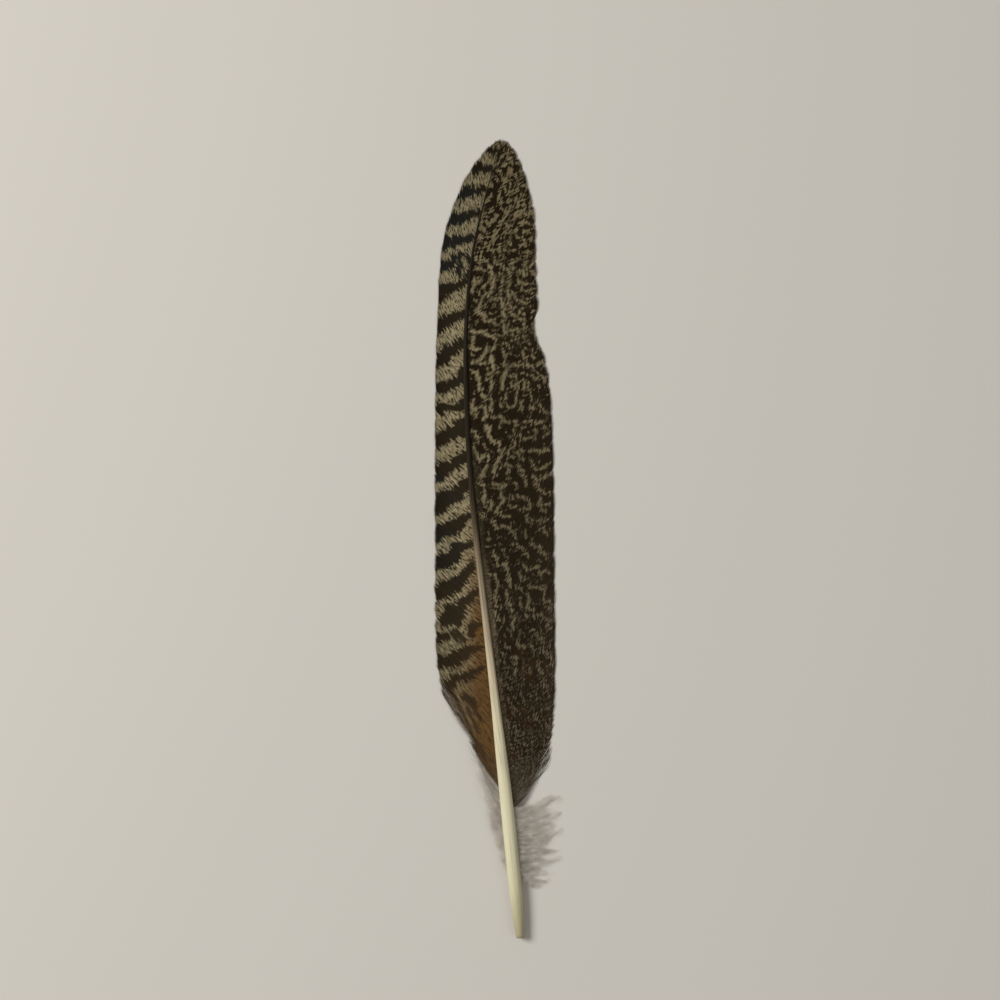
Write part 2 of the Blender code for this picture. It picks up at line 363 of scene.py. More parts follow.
# How the barbs run: (y where the barb leaves the shaft, y of its tip, reach of its tip from the shaft).
NARROW_VANE = (
    (-0.1030, -0.0660, 0.0205),
    (-0.0860, -0.0530, 0.0213),
    (-0.0510, -0.0295, 0.0194),
    (-0.0110, 0.0060, 0.0157),
    (0.0290, 0.0460, 0.0132),
    (0.0640, 0.0830, 0.0123),
    (0.0910, 0.1140, 0.0134),
    (0.1140, 0.1360, 0.0114),
    (0.1340, 0.1510, 0.0070),
    (0.1470, 0.1575, 0.0032),
    (0.1570, 0.1603, 0.0005),
)
ROOT_OVERLAP = 0.0003
BARB_BEND = 0.18
FLAT_FROM = {WIDE_SIDE: 0.77, NARROW_SIDE: 0.88}
EARLY_RISE = {WIDE_SIDE: 0.0013, NARROW_SIDE: 0.0005}
EARLY_RISE_OUT = 0.0014
FULL_RISE_REACH = 0.01
SHEET_MIDDLE = 0.00035

# The locks of a vane: each is joined to the next for a share of its length, and the foot of a vane is looser.
VANE_JOINED = 0.84
VANE_GAP = 0.0002
LOCK_TIP_ROUND = 0.0004
LOOSE_FOOT_LENGTH = 0.045
LOOSE_FOOT_JOINED = 0.86
LOOSE_FOOT_GAP = 0.00022
NOTCH_Y = 0.036
NOTCH_JOINED = 0.62
NOTCH_GAP = 0.0012
LOCK_TILT = 0.00016
WAVE_HEIGHT = 0.00012
WAVE_LENGTH = 0.017
RIPPLE_LENGTH = 0.0071

# One barb: a flat web with a low ridge, whose far edge lies over the near edge of the next. Each corner is a
# share of the pitch across, and a height over the middle of the sheet.
BARB_PITCH = 0.0005
BARB_RINGS = {WIDE_SIDE: 96, NARROW_SIDE: 56}
BARB_CORNERS = ((-0.56, -0.00009), (-0.10, 0.00007), (0.62, -0.00001))
LOWEST_BARB_Z = 0.00004
BARB_TIP_TAPER = 0.0016
TIP_UNEVEN = 0.00035
FOOT_TIP_UNEVEN = 0.0018
FOOT_UNEVEN_LENGTH = 0.025
LOOSE_THINNING = 0.82
LOOSE_WAVES = 2.3
LOOSE_WANDER = 0.0005
MARK_UNEVEN = 0.0007

# The dark bars. On the tip, in mm: points along the middle of each bar, each as its way out from the shaft,
# its way up the shaft, and the height of the bar there.
TIP_BARS = (
    ((-0.1, 154.5, 2.9), (3.0, 154.0, 3.9)),
    ((-0.1, 146.5, 2.9), (3.0, 146.0, 3.7), (7.0, 145.2, 4.7)),
    ((-0.1, 137.0, 2.7), (3.0, 136.4, 3.5), (6.0, 135.6, 4.3), (10.0, 134.5, 5.3)),
    ((-0.1, 127.0, 2.7), (4.0, 126.0, 3.7), (8.0, 124.5, 4.7), (12.5, 123.0, 5.9)),
    ((-0.1, 117.0, 2.5), (4.0, 116.2, 3.5), (8.0, 114.6, 4.5), (13.5, 113.0, 5.9)),
)

# Below the tip, in pixels of the photograph: points listed along each bar, and its height up the page.
DARK_BARS = (
    ((434, 266, 11), (443, 266, 10), (449, 265, 9), (453, 262, 6)),
    ((453, 259, 5), (457, 255, 3), (462, 255, 3)),
    ((458, 257, 2.5), (460, 267, 2.5)),
    ((458, 270, 4), (459, 275, 4)),
    ((466, 256, 3), (469, 262, 3)),
    ((467, 273, 6), (469, 279, 6)),
    ((469, 283, 4), (461, 284, 7), (455, 287, 8), (450, 288, 10), (443, 291, 15), (434, 295, 17)),
    ((468, 313, 8), (460, 316, 8), (452, 317, 9), (446, 320, 13), (441, 325, 15), (434, 329, 15)),
    ((467, 342, 11), (461, 344, 13), (456, 348, 11), (450, 352, 13), (442, 358, 15), (434, 361, 14)),
    ((467, 371, 8), (463, 374, 11), (459, 379, 11), (454, 383, 10), (448, 385, 9), (442, 386, 11),
     (434, 388, 12)),
    ((467, 401, 9), (463, 403, 11), (458, 406, 8), (451, 407, 5), (446, 407, 6), (441, 408, 10),
     (434, 409, 11)),
    ((468, 421, 10), (464, 424, 14), (459, 428, 18), (453, 432, 16), (447, 436, 13), (441, 439, 14),
     (434, 441, 14)),
    ((468, 456, 6), (464, 457, 9), (457, 462, 11), (450, 466, 12), (442, 471, 16), (434, 474, 17)),
    ((470, 482, 9), (466, 485, 12), (459, 491, 14), (451, 497, 16), (442, 503, 17), (434, 506, 17)),
    ((471, 517, 5), (468, 518, 6), (462, 522, 9), (455, 525, 13), (448, 529, 15), (441, 533, 17),
     (434, 535, 16)),
    ((470, 543, 4), (466, 546, 7), (460, 549, 13), (453, 556, 13), (447, 561, 13), (441, 562, 15),
     (434, 563, 15)),
    ((472, 566, 7), (469, 569, 9), (464, 576, 9), (457, 584, 14), (449, 589, 17), (441, 592, 16),
     (434, 594, 16)),
    ((478, 590, 4), (474, 594, 6), (469, 600, 8), (462, 605, 10), (455, 612, 15), (450, 617, 17),
     (445, 621, 12)),
    ((450, 615, 18), (456, 617, 17)),
    ((478, 624, 6), (474, 627, 8), (470, 633, 8)),
    ((444, 636, 8), (434, 638, 9)),
    ((451, 633, 3), (457, 640, 3)),
    ((455, 631, 3), (464, 641, 3)),
    ((480, 648, 4), (470, 650, 7), (463, 653, 11), (455, 657, 15), (447, 661, 14), (441, 662, 13),
     (434, 663, 13)),
    ((480, 668, 2.8), (470, 674, 7.8), (462, 676, 7.8), (455, 680, 8.9), (447, 687, 10.8), (441, 693, 7.8),
     (434, 697, 6.9)),
)

# The dark wisps where the vane ends, the same way.
FOOT_WISPS = (
    ((463, 697, 7), (470, 701, 8), (475, 707, 5)),
    ((466, 706, 3), (470, 716, 3), (474, 725, 3), (478, 734, 2)),
    ((461, 710, 2.5), (466, 722, 2.5), (471, 734, 2)),
    ((470, 704, 3), (476, 713, 3), (481, 723, 2)),
    ((457, 703, 3), (461, 713, 2)),
    ((446, 686, 4), (452, 694, 4), (457, 701, 3)),
    ((474, 738, 2), (480, 751, 2)),
)

# A pixel in mm, and how far out the vane reaches where the marks are. A bar slants, so its height up the page
# counts for a little less, and its ragged edges take off some of it, which is put back.
MM_PER_PIXEL = 0.4
BARS_REACH = 0.014
WISPS_REACH = 0.020
BAR_SLANT = 0.9
RAGGED_MM = 0.9


def early_rise(side, reach, out):
    """How much further up the shaft a barb lies where it sets off steeply, close beside it."""
    early = np.maximum(out, 0) / EARLY_RISE_OUT
    return EARLY_RISE[side] * np.minimum(reach / FULL_RISE_REACH, 1) * early * np.exp(1 - early)


def sheet_height(side, root_y, along):
    """The height of the middle of the sheet: it falls from the axis of the shaft to the ground."""
    fallen = np.clip(along / FLAT_FROM[side], 0.0, 1.0)
    share = 0.5 * (1 - fallen) + 0.5 * np.cos(math.pi * fallen / 2) ** 2
    return shaft_axis_z(root_y) * share + SHEET_MIDDLE


def barb_line(side, barbs, root_y, along):
    """Points along the middle of barbs: for each root, at each share of the length."""
    tip_y, reach = np.moveaxis(smooth(barbs, root_y), -1, 0)
    out = -ROOT_OVERLAP + (reach + ROOT_OVERLAP) * along
    y = root_y + (tip_y - root_y) * ((1 - BARB_BEND) * along + BARB_BEND * along**2)
    x, place_y = beside_shaft(y + early_rise(side, reach, out), side * out)
    return np.stack([x, place_y, sheet_height(side, root_y + 0 * along, along)], axis=-1)


def flat_place(barbs, root_y, along):
    """The same points on the feather laid out straight: how far out from the shaft, and how far up it."""
    tip_y, reach = np.moveaxis(smooth(barbs, root_y), -1, 0)
    y = root_y + (tip_y - root_y) * ((1 - BARB_BEND) * along + BARB_BEND * along**2)
    return (reach + ROOT_OVERLAP) * along, y


def places_on_vane(side, reach, spots):
    """Where spots of the photograph lie on the feather laid out straight: mm out from the shaft, mm up it."""
    across, down = np.array(spots, float).T
    right = (across - PHOTO_SIDE / 2) / FOCAL_PIXELS
    above = (PHOTO_SIDE / 2 - down) / FOCAL_PIXELS
    forward = above * math.cos(CAMERA_TILT) + math.sin(CAMERA_TILT)
    sinking = above * math.sin(CAMERA_TILT) - math.cos(CAMERA_TILT)
    z = SHEET_MIDDLE
    for _ in range(6):
        far = (z - CAMERA_PLACE[2]) / sinking
        x = CAMERA_PLACE[0] + far * right
        y = CAMERA_PLACE[1] + far * forward
        shaft_y = y
        for _ in range(12):
            slope, length = shaft_slope(shaft_y)
            out = (x - shaft_x(shaft_y)) * length
            shaft_y = y + out * slope / length
        z = sheet_height(side, shaft_y, np.clip(side * out / reach, 0, 1))
    up = shaft_y - early_rise(side, reach, side * out)
    return 1000 * np.stack([side * out, up], axis=-1)


def set_out(side, reach, strokes, scale, more=0.0):
    """Strokes of the photograph on the feather laid out straight, in mm, rounded to a tenth."""
    placed = []
    for stroke in strokes:
        stroke = np.array(stroke, float)
        place = places_on_vane(side, reach, stroke[:, :2])
        placed.append(np.round(np.concatenate([place, scale * stroke[:, 2:] + more], axis=-1), 1))
    return placed


def lock_edges(side, barbs, locks, chance):
    """Where each lock meets the next: its y on the shaft, the share where they part, and the gap there."""
    low, high = barbs[0][0], barbs[-1][0]
    pitch = (high - low) / locks
    edges = []
    for k in range(locks + 1):
        inner = 0 < k < locks
        y = low + pitch * (k + (chance.uniform(-0.15, 0.15) if inner else 0.0))
        loose = max(0.0, 1 - (y - low) / LOOSE_FOOT_LENGTH)
        joined = VANE_JOINED + (LOOSE_FOOT_JOINED - VANE_JOINED) * loose + chance.uniform(-0.06, 0.10)
        gap = (VANE_GAP + (LOOSE_FOOT_GAP - VANE_GAP) * loose) * chance.uniform(0.6, 1.6)
        if side == WIDE_SIDE and abs(y - NOTCH_Y) <= pitch / 2:
            joined, gap = NOTCH_JOINED, NOTCH_GAP
        edges.append((y, joined, gap))
    return np.array(edges)


def gather(side, barbs, edges, lock, root_y, along):
    """Points along barbs in their locks: near the edge of a lock they are drawn towards its middle."""
    line = barb_line(side, barbs, root_y[:, None], along)
    middle = barb_line(side, barbs, ((edges[lock, 0] + edges[lock + 1, 0]) / 2)[:, None], along)
    share = (root_y - edges[lock, 0]) / (edges[lock + 1, 0] - edges[lock, 0])
    for edge, weight in ((lock, np.maximum(1 - 2 * share, 0)), (lock + 1, np.maximum(2 * share - 1, 0))):
        edge_y, joined, gap = edges[edge].T[..., None]
        beyond = np.clip((along - joined) / (1 - joined), 0.0, 1.0)
        drawn = middle - barb_line(side, barbs, edge_y, along)
        half_width = np.hypot(drawn[..., 0], drawn[..., 1]) + 1e-6
        pull = np.minimum((gap * beyond + 0.5 * LOCK_TIP_ROUND * beyond**6) / half_width, 0.45)
        drawn = drawn * pull[..., None]
        drawn[..., 0] -= side * LOCK_TIP_ROUND * beyond**4
        line = line + weight[:, None, None] * drawn
    return line


def strands(rings, first, last, inside_out):
    """Closed three-sided strands from their rings of corners and the two points that each ends in."""
    count, length = rings.shape[:2]
    points = np.concatenate([first[:, None], rings.reshape(count, -1, 3), last[:, None]], axis=1)
    ring = (1 + 3 * np.arange(length - 1))[:, None]
    next_ring = ring + 3
    corner, following = np.array([0, 1, 2]), np.array([1, 2, 0])
    quads = np.stack([ring + corner, ring + following, next_ring + following, next_ring + corner], axis=-1)
    quads = quads.reshape(-1, 4)
    final = 3 * length + 1
    ends = np.concatenate(
        [
            np.stack([0 * corner, 1 + following, 1 + corner], axis=-1),
            np.stack([0 * corner + final, final - 3 + corner, final - 3 + following], axis=-1),
        ]
    )
    if inside_out:
        quads, ends = quads[:, ::-1], ends[:, ::-1]
    offsets = (final + 1) * np.arange(count)[:, None, None]
    return points.reshape(-1, 3), (quads + offsets).reshape(-1, 4), (ends + offsets).reshape(-1, 3)


def at_corners(values):
    """Values along strands, for each of their points: the first end, the corners of each ring, the last."""
    return np.concatenate([values[:, :1], np.repeat(values, 3, axis=1), values[:, -1:]], axis=1)


def lay_vane(name, side, barbs, span, edges, seed, looseness, colour_marks, material):
    """The span of a vane, barb by barb, and the middle lines of its barbs with how open each is."""
    noise = np.random.default_rng(seed)
    ring_count = BARB_RINGS[side]
    root_y = np.arange(*span, BARB_PITCH)
    count = len(root_y)
    root_y = root_y + noise.uniform(-0.12, 0.12, count) * BARB_PITCH
    root_y = np.clip(root_y, span[0], span[1] - 1e-6)
    lock = np.searchsorted(edges[:, 0], root_y, side="right") - 1
    share = (np.arange(ring_count) / (ring_count - 1)) ** 1.1
    reach = smooth(barbs, root_y)[:, 1]
    length = np.hypot(reach, smooth(barbs, root_y)[:, 0] - root_y)
    foot = np.clip(1 - (root_y - barbs[0][0]) / FOOT_UNEVEN_LENGTH, 0, 1)
    tuft = np.cumsum(noise.uniform(0, 1, count) < 0.3)
    uneven = 0.6 * noise.uniform(-1.0, 0.6, count) + 0.6 * noise.uniform(-1.0, 0.6, count)[tuft]
    uneven = uneven * (TIP_UNEVEN + FOOT_TIP_UNEVEN * foot)
    along = share * (1 + uneven / length)[:, None]
    line = gather(side, barbs, edges, lock, root_y, along)
    pitch = gather(side, barbs, edges, lock, root_y + BARB_PITCH / 2, along)
    pitch = pitch - gather(side, barbs, edges, lock, root_y - BARB_PITCH / 2, along)

    in_lock = (root_y - edges[lock, 0]) / (edges[lock + 1, 0] - edges[lock, 0]) - 0.5
    lifted = np.clip((along - 0.25) / 0.5, 0, 1)
    tilt = noise.uniform(-1, 1, len(edges))[lock] * LOCK_TILT
    wave = np.sin(2 * math.pi * (root_y[:, None] / WAVE_LENGTH + 1.3 * along))
    wave = wave + np.sin(2 * math.pi * root_y[:, None] / RIPPLE_LENGTH)
    line[..., 2] += lifted * ((2 * tilt * in_lock)[:, None] + 0.5 * WAVE_HEIGHT * wave)

    loose = looseness(root_y)[:, None]
    open_share = loose * np.clip((along - 0.9 * (1 - loose)) / 0.35, 0, 1)
    to_tip = length[:, None] * (share[-1] - share)
    width = np.clip(to_tip / BARB_TIP_TAPER, 0.05, 1) ** 0.6 * (1 - LOOSE_THINNING * open_share)
    wander = noise.uniform(0, 2 * math.pi, (count, 1)) + 2 * math.pi * LOOSE_WAVES * along
    line[..., 1] += LOOSE_WANDER * open_share * np.sin(wander)
    line[..., 2] += 0.5 * LOOSE_WANDER * open_share * np.cos(wander)
    rings = np.empty((count, ring_count, 3, 3))
    for corner, (across, up) in enumerate(BARB_CORNERS):
        rings[:, :, corner] = line + pitch * (across * width)[..., None]
        rings[:, :, corner, 2] = line[..., 2] + up
    first = line[:, 0]
    last = line[:, -1] + 0.5 * (line[:, -1] - line[:, -2])
    last[:, 2] = line[:, -1, 2]
    points, quads, ends = strands(rings, first, last, side == NARROW_SIDE)
    points[:, 2] = np.maximum(points[:, 2], LOWEST_BARB_Z)

    bundle = np.cumsum(noise.uniform(0, 1, count) < 0.6)
    shift = noise.normal(0, 1, count)[bundle - bundle[0]] + 0.3 * noise.normal(0, 1, count)
    shift = np.clip(shift, -2.0, 2.0) * MARK_UNEVEN
    mark_along = along + (shift / length)[:, None]
    out, up = flat_place(barbs, root_y[:, None], mark_along)
    distance = along * length[:, None]
    corner_share = np.tile([0.04, 0.38, 0.96], ring_count)
    corner_share = np.concatenate([[0.5], corner_share, [0.5]])
    number = np.arange(count)[:, None] + corner_share
    strand = number + round((span[0] - barbs[0][0]) / BARB_PITCH)
    marks = {
        "strand": np.stack([strand, at_corners(distance), 0 * strand], axis=-1).reshape(-1, 3),
        "barb_tone": at_corners(noise.uniform(-1, 1, count)[:, None] + 0 * along).ravel(),
        "open": at_corners(open_share).ravel(),
        "place": at_corners(np.stack([out, up, 0 * out], axis=-1)).reshape(-1, 3),
    }
    for mark, values in colour_marks(out, up, mark_along).items():
        values = at_corners(values)
        marks[mark] = values.reshape(-1, 3) if values.ndim == 3 else values.ravel()
    map_share = 0.01 + 0.98 * at_corners(np.broadcast_to(share, (count, ring_count)))
    map_share[:, 0], map_share[:, -1] = 0.0, 1.0
    map_place = np.stack([number / count, map_share], axis=-1).reshape(-1, 2)
    corners = np.concatenate([quads.ravel(), ends.ravel()])
    piece = make_piece(name, points, quads.tolist() + ends.tolist(), map_place[corners], marks, material)
    return piece, line, open_share


def stroke_depth(strokes, out, up):
    """How far inside the nearest stroke each place of a vane lies. The strokes' points carry their widths."""
    place = 1000 * np.stack([out, up], axis=-1)
    depth = np.full(np.shape(out), -4.0)
    for stroke in strokes:
        for start, end in zip(np.array(stroke), np.array(stroke[1:])):
            step = (end - start)[:2]
            share = np.clip((place - start[:2]) @ step / (step @ step), 0, 1)
            gap = np.linalg.norm(place - start[:2] - share[..., None] * step, axis=-1)
            depth = np.maximum(depth, (start[2] + share * (end[2] - start[2])) / 2 - gap)
    return depth / 1000


dark_strokes = [
    *TIP_BARS,
    *set_out(NARROW_SIDE, BARS_REACH, DARK_BARS, BAR_SLANT * MM_PER_PIXEL, RAGGED_MM),
    *set_out(NARROW_SIDE, WISPS_REACH, FOOT_WISPS, MM_PER_PIXEL),
]


def narrow_marks(out, up, share):
    """Where the narrow vane is barred, red, darker at its low end, and fading towards its foot."""
    red_reach = np.interp(up, (-0.10, -0.066, -0.050, -0.030, -0.010), (0.018, 0.014, 0.009, 0.006, 0.005))
    red_zone = np.interp(up, (-0.112, -0.095, -0.040, -0.025, -0.010, 0.020), (0.6, 1.0, 1.0, 0.7, 0.35, 0.1))
    red = red_zone * np.clip(1.5 - out / red_reach, 0, 1)
    fading = np.interp(up, (-0.095, -0.060), (1.0, 0.0)) * np.clip(share * 1.6 - 0.4, 0, 1)
    low = np.interp(up, (-0.045, -0.015), (1.0, 0.0))
    return {"bar": stroke_depth(dark_strokes, out, up), "red": red, "low": low, "fading": fading}


def narrow_looseness(root_y):
    """How far the lowest barbs have come unhooked from their neighbours."""
    return np.interp(root_y, (-0.103, -0.097, -0.091, -0.086), (0.85, 0.52, 0.16, 0.0))


# The edge of a marking: a depth that grows into it, pushed to and fro by a streak, and cut off softly.
ragged_edge, group_in, group_out = new_group(
    "ragged_edge",
    {
        "Depth": "NodeSocketFloat",
        "Streak": "NodeSocketFloat",
        "Raggedness": "NodeSocketFloat",
        "Softness": "NodeSocketFloat",
    },
    {"Inside": "NodeSocketFloat"},
)
push = calculate(ragged_edge, "SUBTRACT", group_in.outputs["Streak"], 0.5)
push = calculate(ragged_edge, "MULTIPLY", push, group_in.outputs["Raggedness"])
push = calculate(ragged_edge, "ADD", push, group_in.outputs["Depth"])
push = calculate(ragged_edge, "DIVIDE", push, group_in.outputs["Softness"])
ragged_edge.links.new(stretch(ragged_edge, push, -0.5, 0.5), group_out.inputs["Inside"])

# The fine grain of a vane: each barb a little lighter or darker than the next, and dusted along its length.
barb_grain, group_in, group_out = new_group(
    "barb_grain",
    {
        "Color": "NodeSocketColor",
        "Streak": "NodeSocketFloat",
        "Barb Tone": "NodeSocketFloat",
        "Amount": "NodeSocketFloat",
    },
    {"Color": "NodeSocketColor"},
)
grain = calculate(barb_grain, "SUBTRACT", group_in.outputs["Streak"], 0.5)
own_tone = calculate(barb_grain, "MULTIPLY", group_in.outputs["Barb Tone"], 0.35)
grain = calculate(barb_grain, "ADD", grain, own_tone)
grain = calculate(barb_grain, "MULTIPLY", grain, group_in.outputs["Amount"])
grain = calculate(barb_grain, "ADD", grain, 1.0)
lightened = add_node(
    barb_grain, "ShaderNodeHueSaturation", {"Value": grain, "Color": group_in.outputs["Color"], "Fac": 1.0}
)
barb_grain.links.new(lightened.outputs[0], group_out.inputs["Color"])


def start_barbs(name, streak_width):
    """A material for barbs: its tree and shader, its strand and place, and its short and long streaks."""
    material, tree, shader = new_material(name)
    strand = read_mark(tree, "strand", "Vector")
    place = read_mark(tree, "place", "Vector")
    streak = use_group(tree, fine_streaks, {"Place": strand, "Width": streak_width, "Length": 0.0016})
    long_streak = use_group(tree, fine_streaks, {"Place": strand, "Width": 1.6, "Length": 0.006})
    return material, tree, shader, strand, place, streak, long_streak


def finish_barbs(tree, shader, colour, streak, grain_amount, roughest):
    """Barbs with their grain, their fine relief and the low dull gloss of dry horn."""
    tone = read_mark(tree, "barb_tone")
    grained = {"Color": colour, "Streak": streak, "Barb Tone": tone, "Amount": grain_amount}
    tree.links.new(use_group(tree, barb_grain, grained), shader.inputs["Base Color"])
    tree.links.new(stretch(tree, streak, 0, 1, 0.55, roughest), shader.inputs["Roughness"])
    bump = add_node(tree, "ShaderNodeBump", {"Height": streak, "Distance": 0.00003, "Strength": 0.5})
    tree.links.new(bump.outputs[0], shader.inputs["Normal"])
    shader.inputs["Sheen Weight"].default_value = 0.01
    shader.inputs["Sheen Roughness"].default_value = 0.45
    shader.inputs["Specular IOR Level"].default_value = 0.10
    shader.inputs["Specular Tint"].default_value = (1.0, 0.75, 0.45, 1.0)


def add_patches(tree, place, scale):
    """Soft patches over a vane, some mm across."""
    inputs = {"Vector": place, "Scale": scale, "Detail": 1.0}
    return add_node(tree, "ShaderNodeTexNoise", inputs, noise_dimensions="2D").outputs[0]


# The colours of the narrow vane. A pair is the darker and the paler streak of one colour.
BAR_BROWN = (0.0130, 0.0095, 0.0048, 1)
BAR_BLUISH = (0.0105, 0.0110, 0.0095, 1)
LOW_BAR_BROWN = (0.026, 0.018, 0.009, 1)
RED_BAR_BROWN = (0.030, 0.018, 0.008, 1)
CREAM = ((0.185, 0.148, 0.082, 1), (0.28, 0.238, 0.142, 1))
FOX_RED = ((0.085, 0.042, 0.013, 1), (0.122, 0.067, 0.024, 1))
NARROW_FOOT = ((0.085, 0.055, 0.028, 1), (0.16, 0.115, 0.068, 1))

narrow_barbs, tree, shader, strand, place, streak, long_streak = start_barbs("narrow_vane_barbs", 0.7)
red = read_mark(tree, "red")
depth = read_mark(tree, "bar")
dark = use_group(
    tree, ragged_edge, {"Depth": depth, "Streak": streak, "Raggedness": 0.0011, "Softness": 0.0002}
)
dashes = use_group(tree, fine_streaks, {"Place": strand, "Width": 1.5, "Length": 0.0022})
dashes = calculate(tree, "ADD", dashes, stretch(tree, depth, -0.0032, -0.0004, 0.0, 0.10))
dashes = calculate(tree, "SUBTRACT", dashes, calculate(tree, "MULTIPLY", red, 0.15))
dashes = stretch(tree, dashes, 0.64, 0.70, 0.0, 0.95)
dark = calculate(tree, "MAXIMUM", dark, dashes)
patches = stretch(tree, add_patches(tree, place, 55.0), 0.42, 0.62)
dark_colour = blend_colours(tree, patches, BAR_BROWN, BAR_BLUISH)
dark_colour = blend_colours(tree, read_mark(tree, "low"), dark_colour, LOW_BAR_BROWN)
dark_colour = blend_colours(tree, red, dark_colour, RED_BAR_BROWN)
cream_colour = blend_colours(tree, long_streak, *CREAM)
red_colour = blend_colours(tree, long_streak, *FOX_RED)
cream_colour = blend_colours(tree, red, cream_colour, red_colour)
colour = blend_colours(tree, dark, cream_colour, dark_colour)
fading = calculate(tree, "MULTIPLY", read_mark(tree, "fading"), 0.8)
foot_colour = blend_colours(tree, long_streak, *NARROW_FOOT)
colour = blend_colours(tree, fading, colour, foot_colour)
finish_barbs(tree, shader, colour, streak, 0.5, 0.75)

narrow_chance = random.Random("narrow_side")
narrow_edges = lock_edges(NARROW_SIDE, NARROW_VANE, NARROW_VANE_LOCKS, narrow_chance)
narrow_span = (NARROW_VANE[0][0], NARROW_VANE[-1][0])
narrow_vane, narrow_lines, narrow_open = lay_vane(
    "narrow_vane",
    NARROW_SIDE,
    NARROW_VANE,
    narrow_span,
    narrow_edges,
    11,
    narrow_looseness,
    narrow_marks,
    narrow_barbs,
)
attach(narrow_vane, "root")
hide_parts("feather")


# The wide vane, on the side that lay over the next feather: longer and softer barbs, hooked into one sheet.
# It is laid in two pieces, which meet where the notch near the top parts it. Dark brown, marbled with broken
# cream lines: fine near the tip, broader in patches beside the shaft, and dusty towards the foot.
WIDE_VANE_LOCKS = 26
WIDE_VANE = (
    (-0.1150, -0.0960, 0.0186),
    (-0.1030, -0.0740, 0.0234),
    (-0.0710, -0.0350, 0.0283),
    (-0.0310, 0.0100, 0.0331),
    (-0.0010, 0.0430, 0.0344),
    (0.0210, 0.0660, 0.0326),
    (0.0360, 0.0800, 0.0280),
    (0.0470, 0.0910, 0.0288),
    (0.0690, 0.1100, 0.0264),
    (0.0940, 0.1300, 0.0225),
    (0.1190, 0.1470, 0.0145),
    (0.1390, 0.1565, 0.0070),
    (0.1560, 0.1603, 0.0006),
)

# How the marbling changes up the vane, near the shaft and near the margin: (y, pitch of the marks, level over
# which they turn cream, how far they line up, and the way that they face).
INNER_MARBLING = (
    (-0.120, 0.0022, 0.550, 0.30, 1.0),
    (-0.085, 0.0023, 0.560, 0.40, 0.6),
    (-0.050, 0.0028, 0.600, 0.40, 0.4),
    (-0.020, 0.0034, 0.635, 0.30, 0.5),
    (0.010, 0.0034, 0.645, 0.30, 0.8),
    (0.060, 0.0036, 0.660, 0.25, 0.9),
    (0.080, 0.0038, 0.620, 0.25, 0.9),
    (0.100, 0.0040, 0.575, 0.20, 0.6),
    (0.113, 0.0040, 0.535, 0.20, 0.6),
    (0.160, 0.0034, 0.525, 0.15, 0.6),
)
OUTER_MARBLING = (
    (-0.120, 0.0022, 0.550, 0.30, 1.2),
    (-0.085, 0.0024, 0.555, 0.40, 0.9),
    (-0.050, 0.0028, 0.610, 0.35, 0.6),
    (-0.020, 0.0030, 0.700, 0.30, 1.3),
    (0.040, 0.0028, 0.735, 0.25, 1.6),
    (0.060, 0.0027, 0.645, 0.20, 1.4),
    (0.100, 0.0031, 0.570, 0.20, 1.2),
    (0.113, 0.0038, 0.535, 0.20, 1.2),
    (0.160, 0.0034, 0.525, 0.15, 1.2),
)
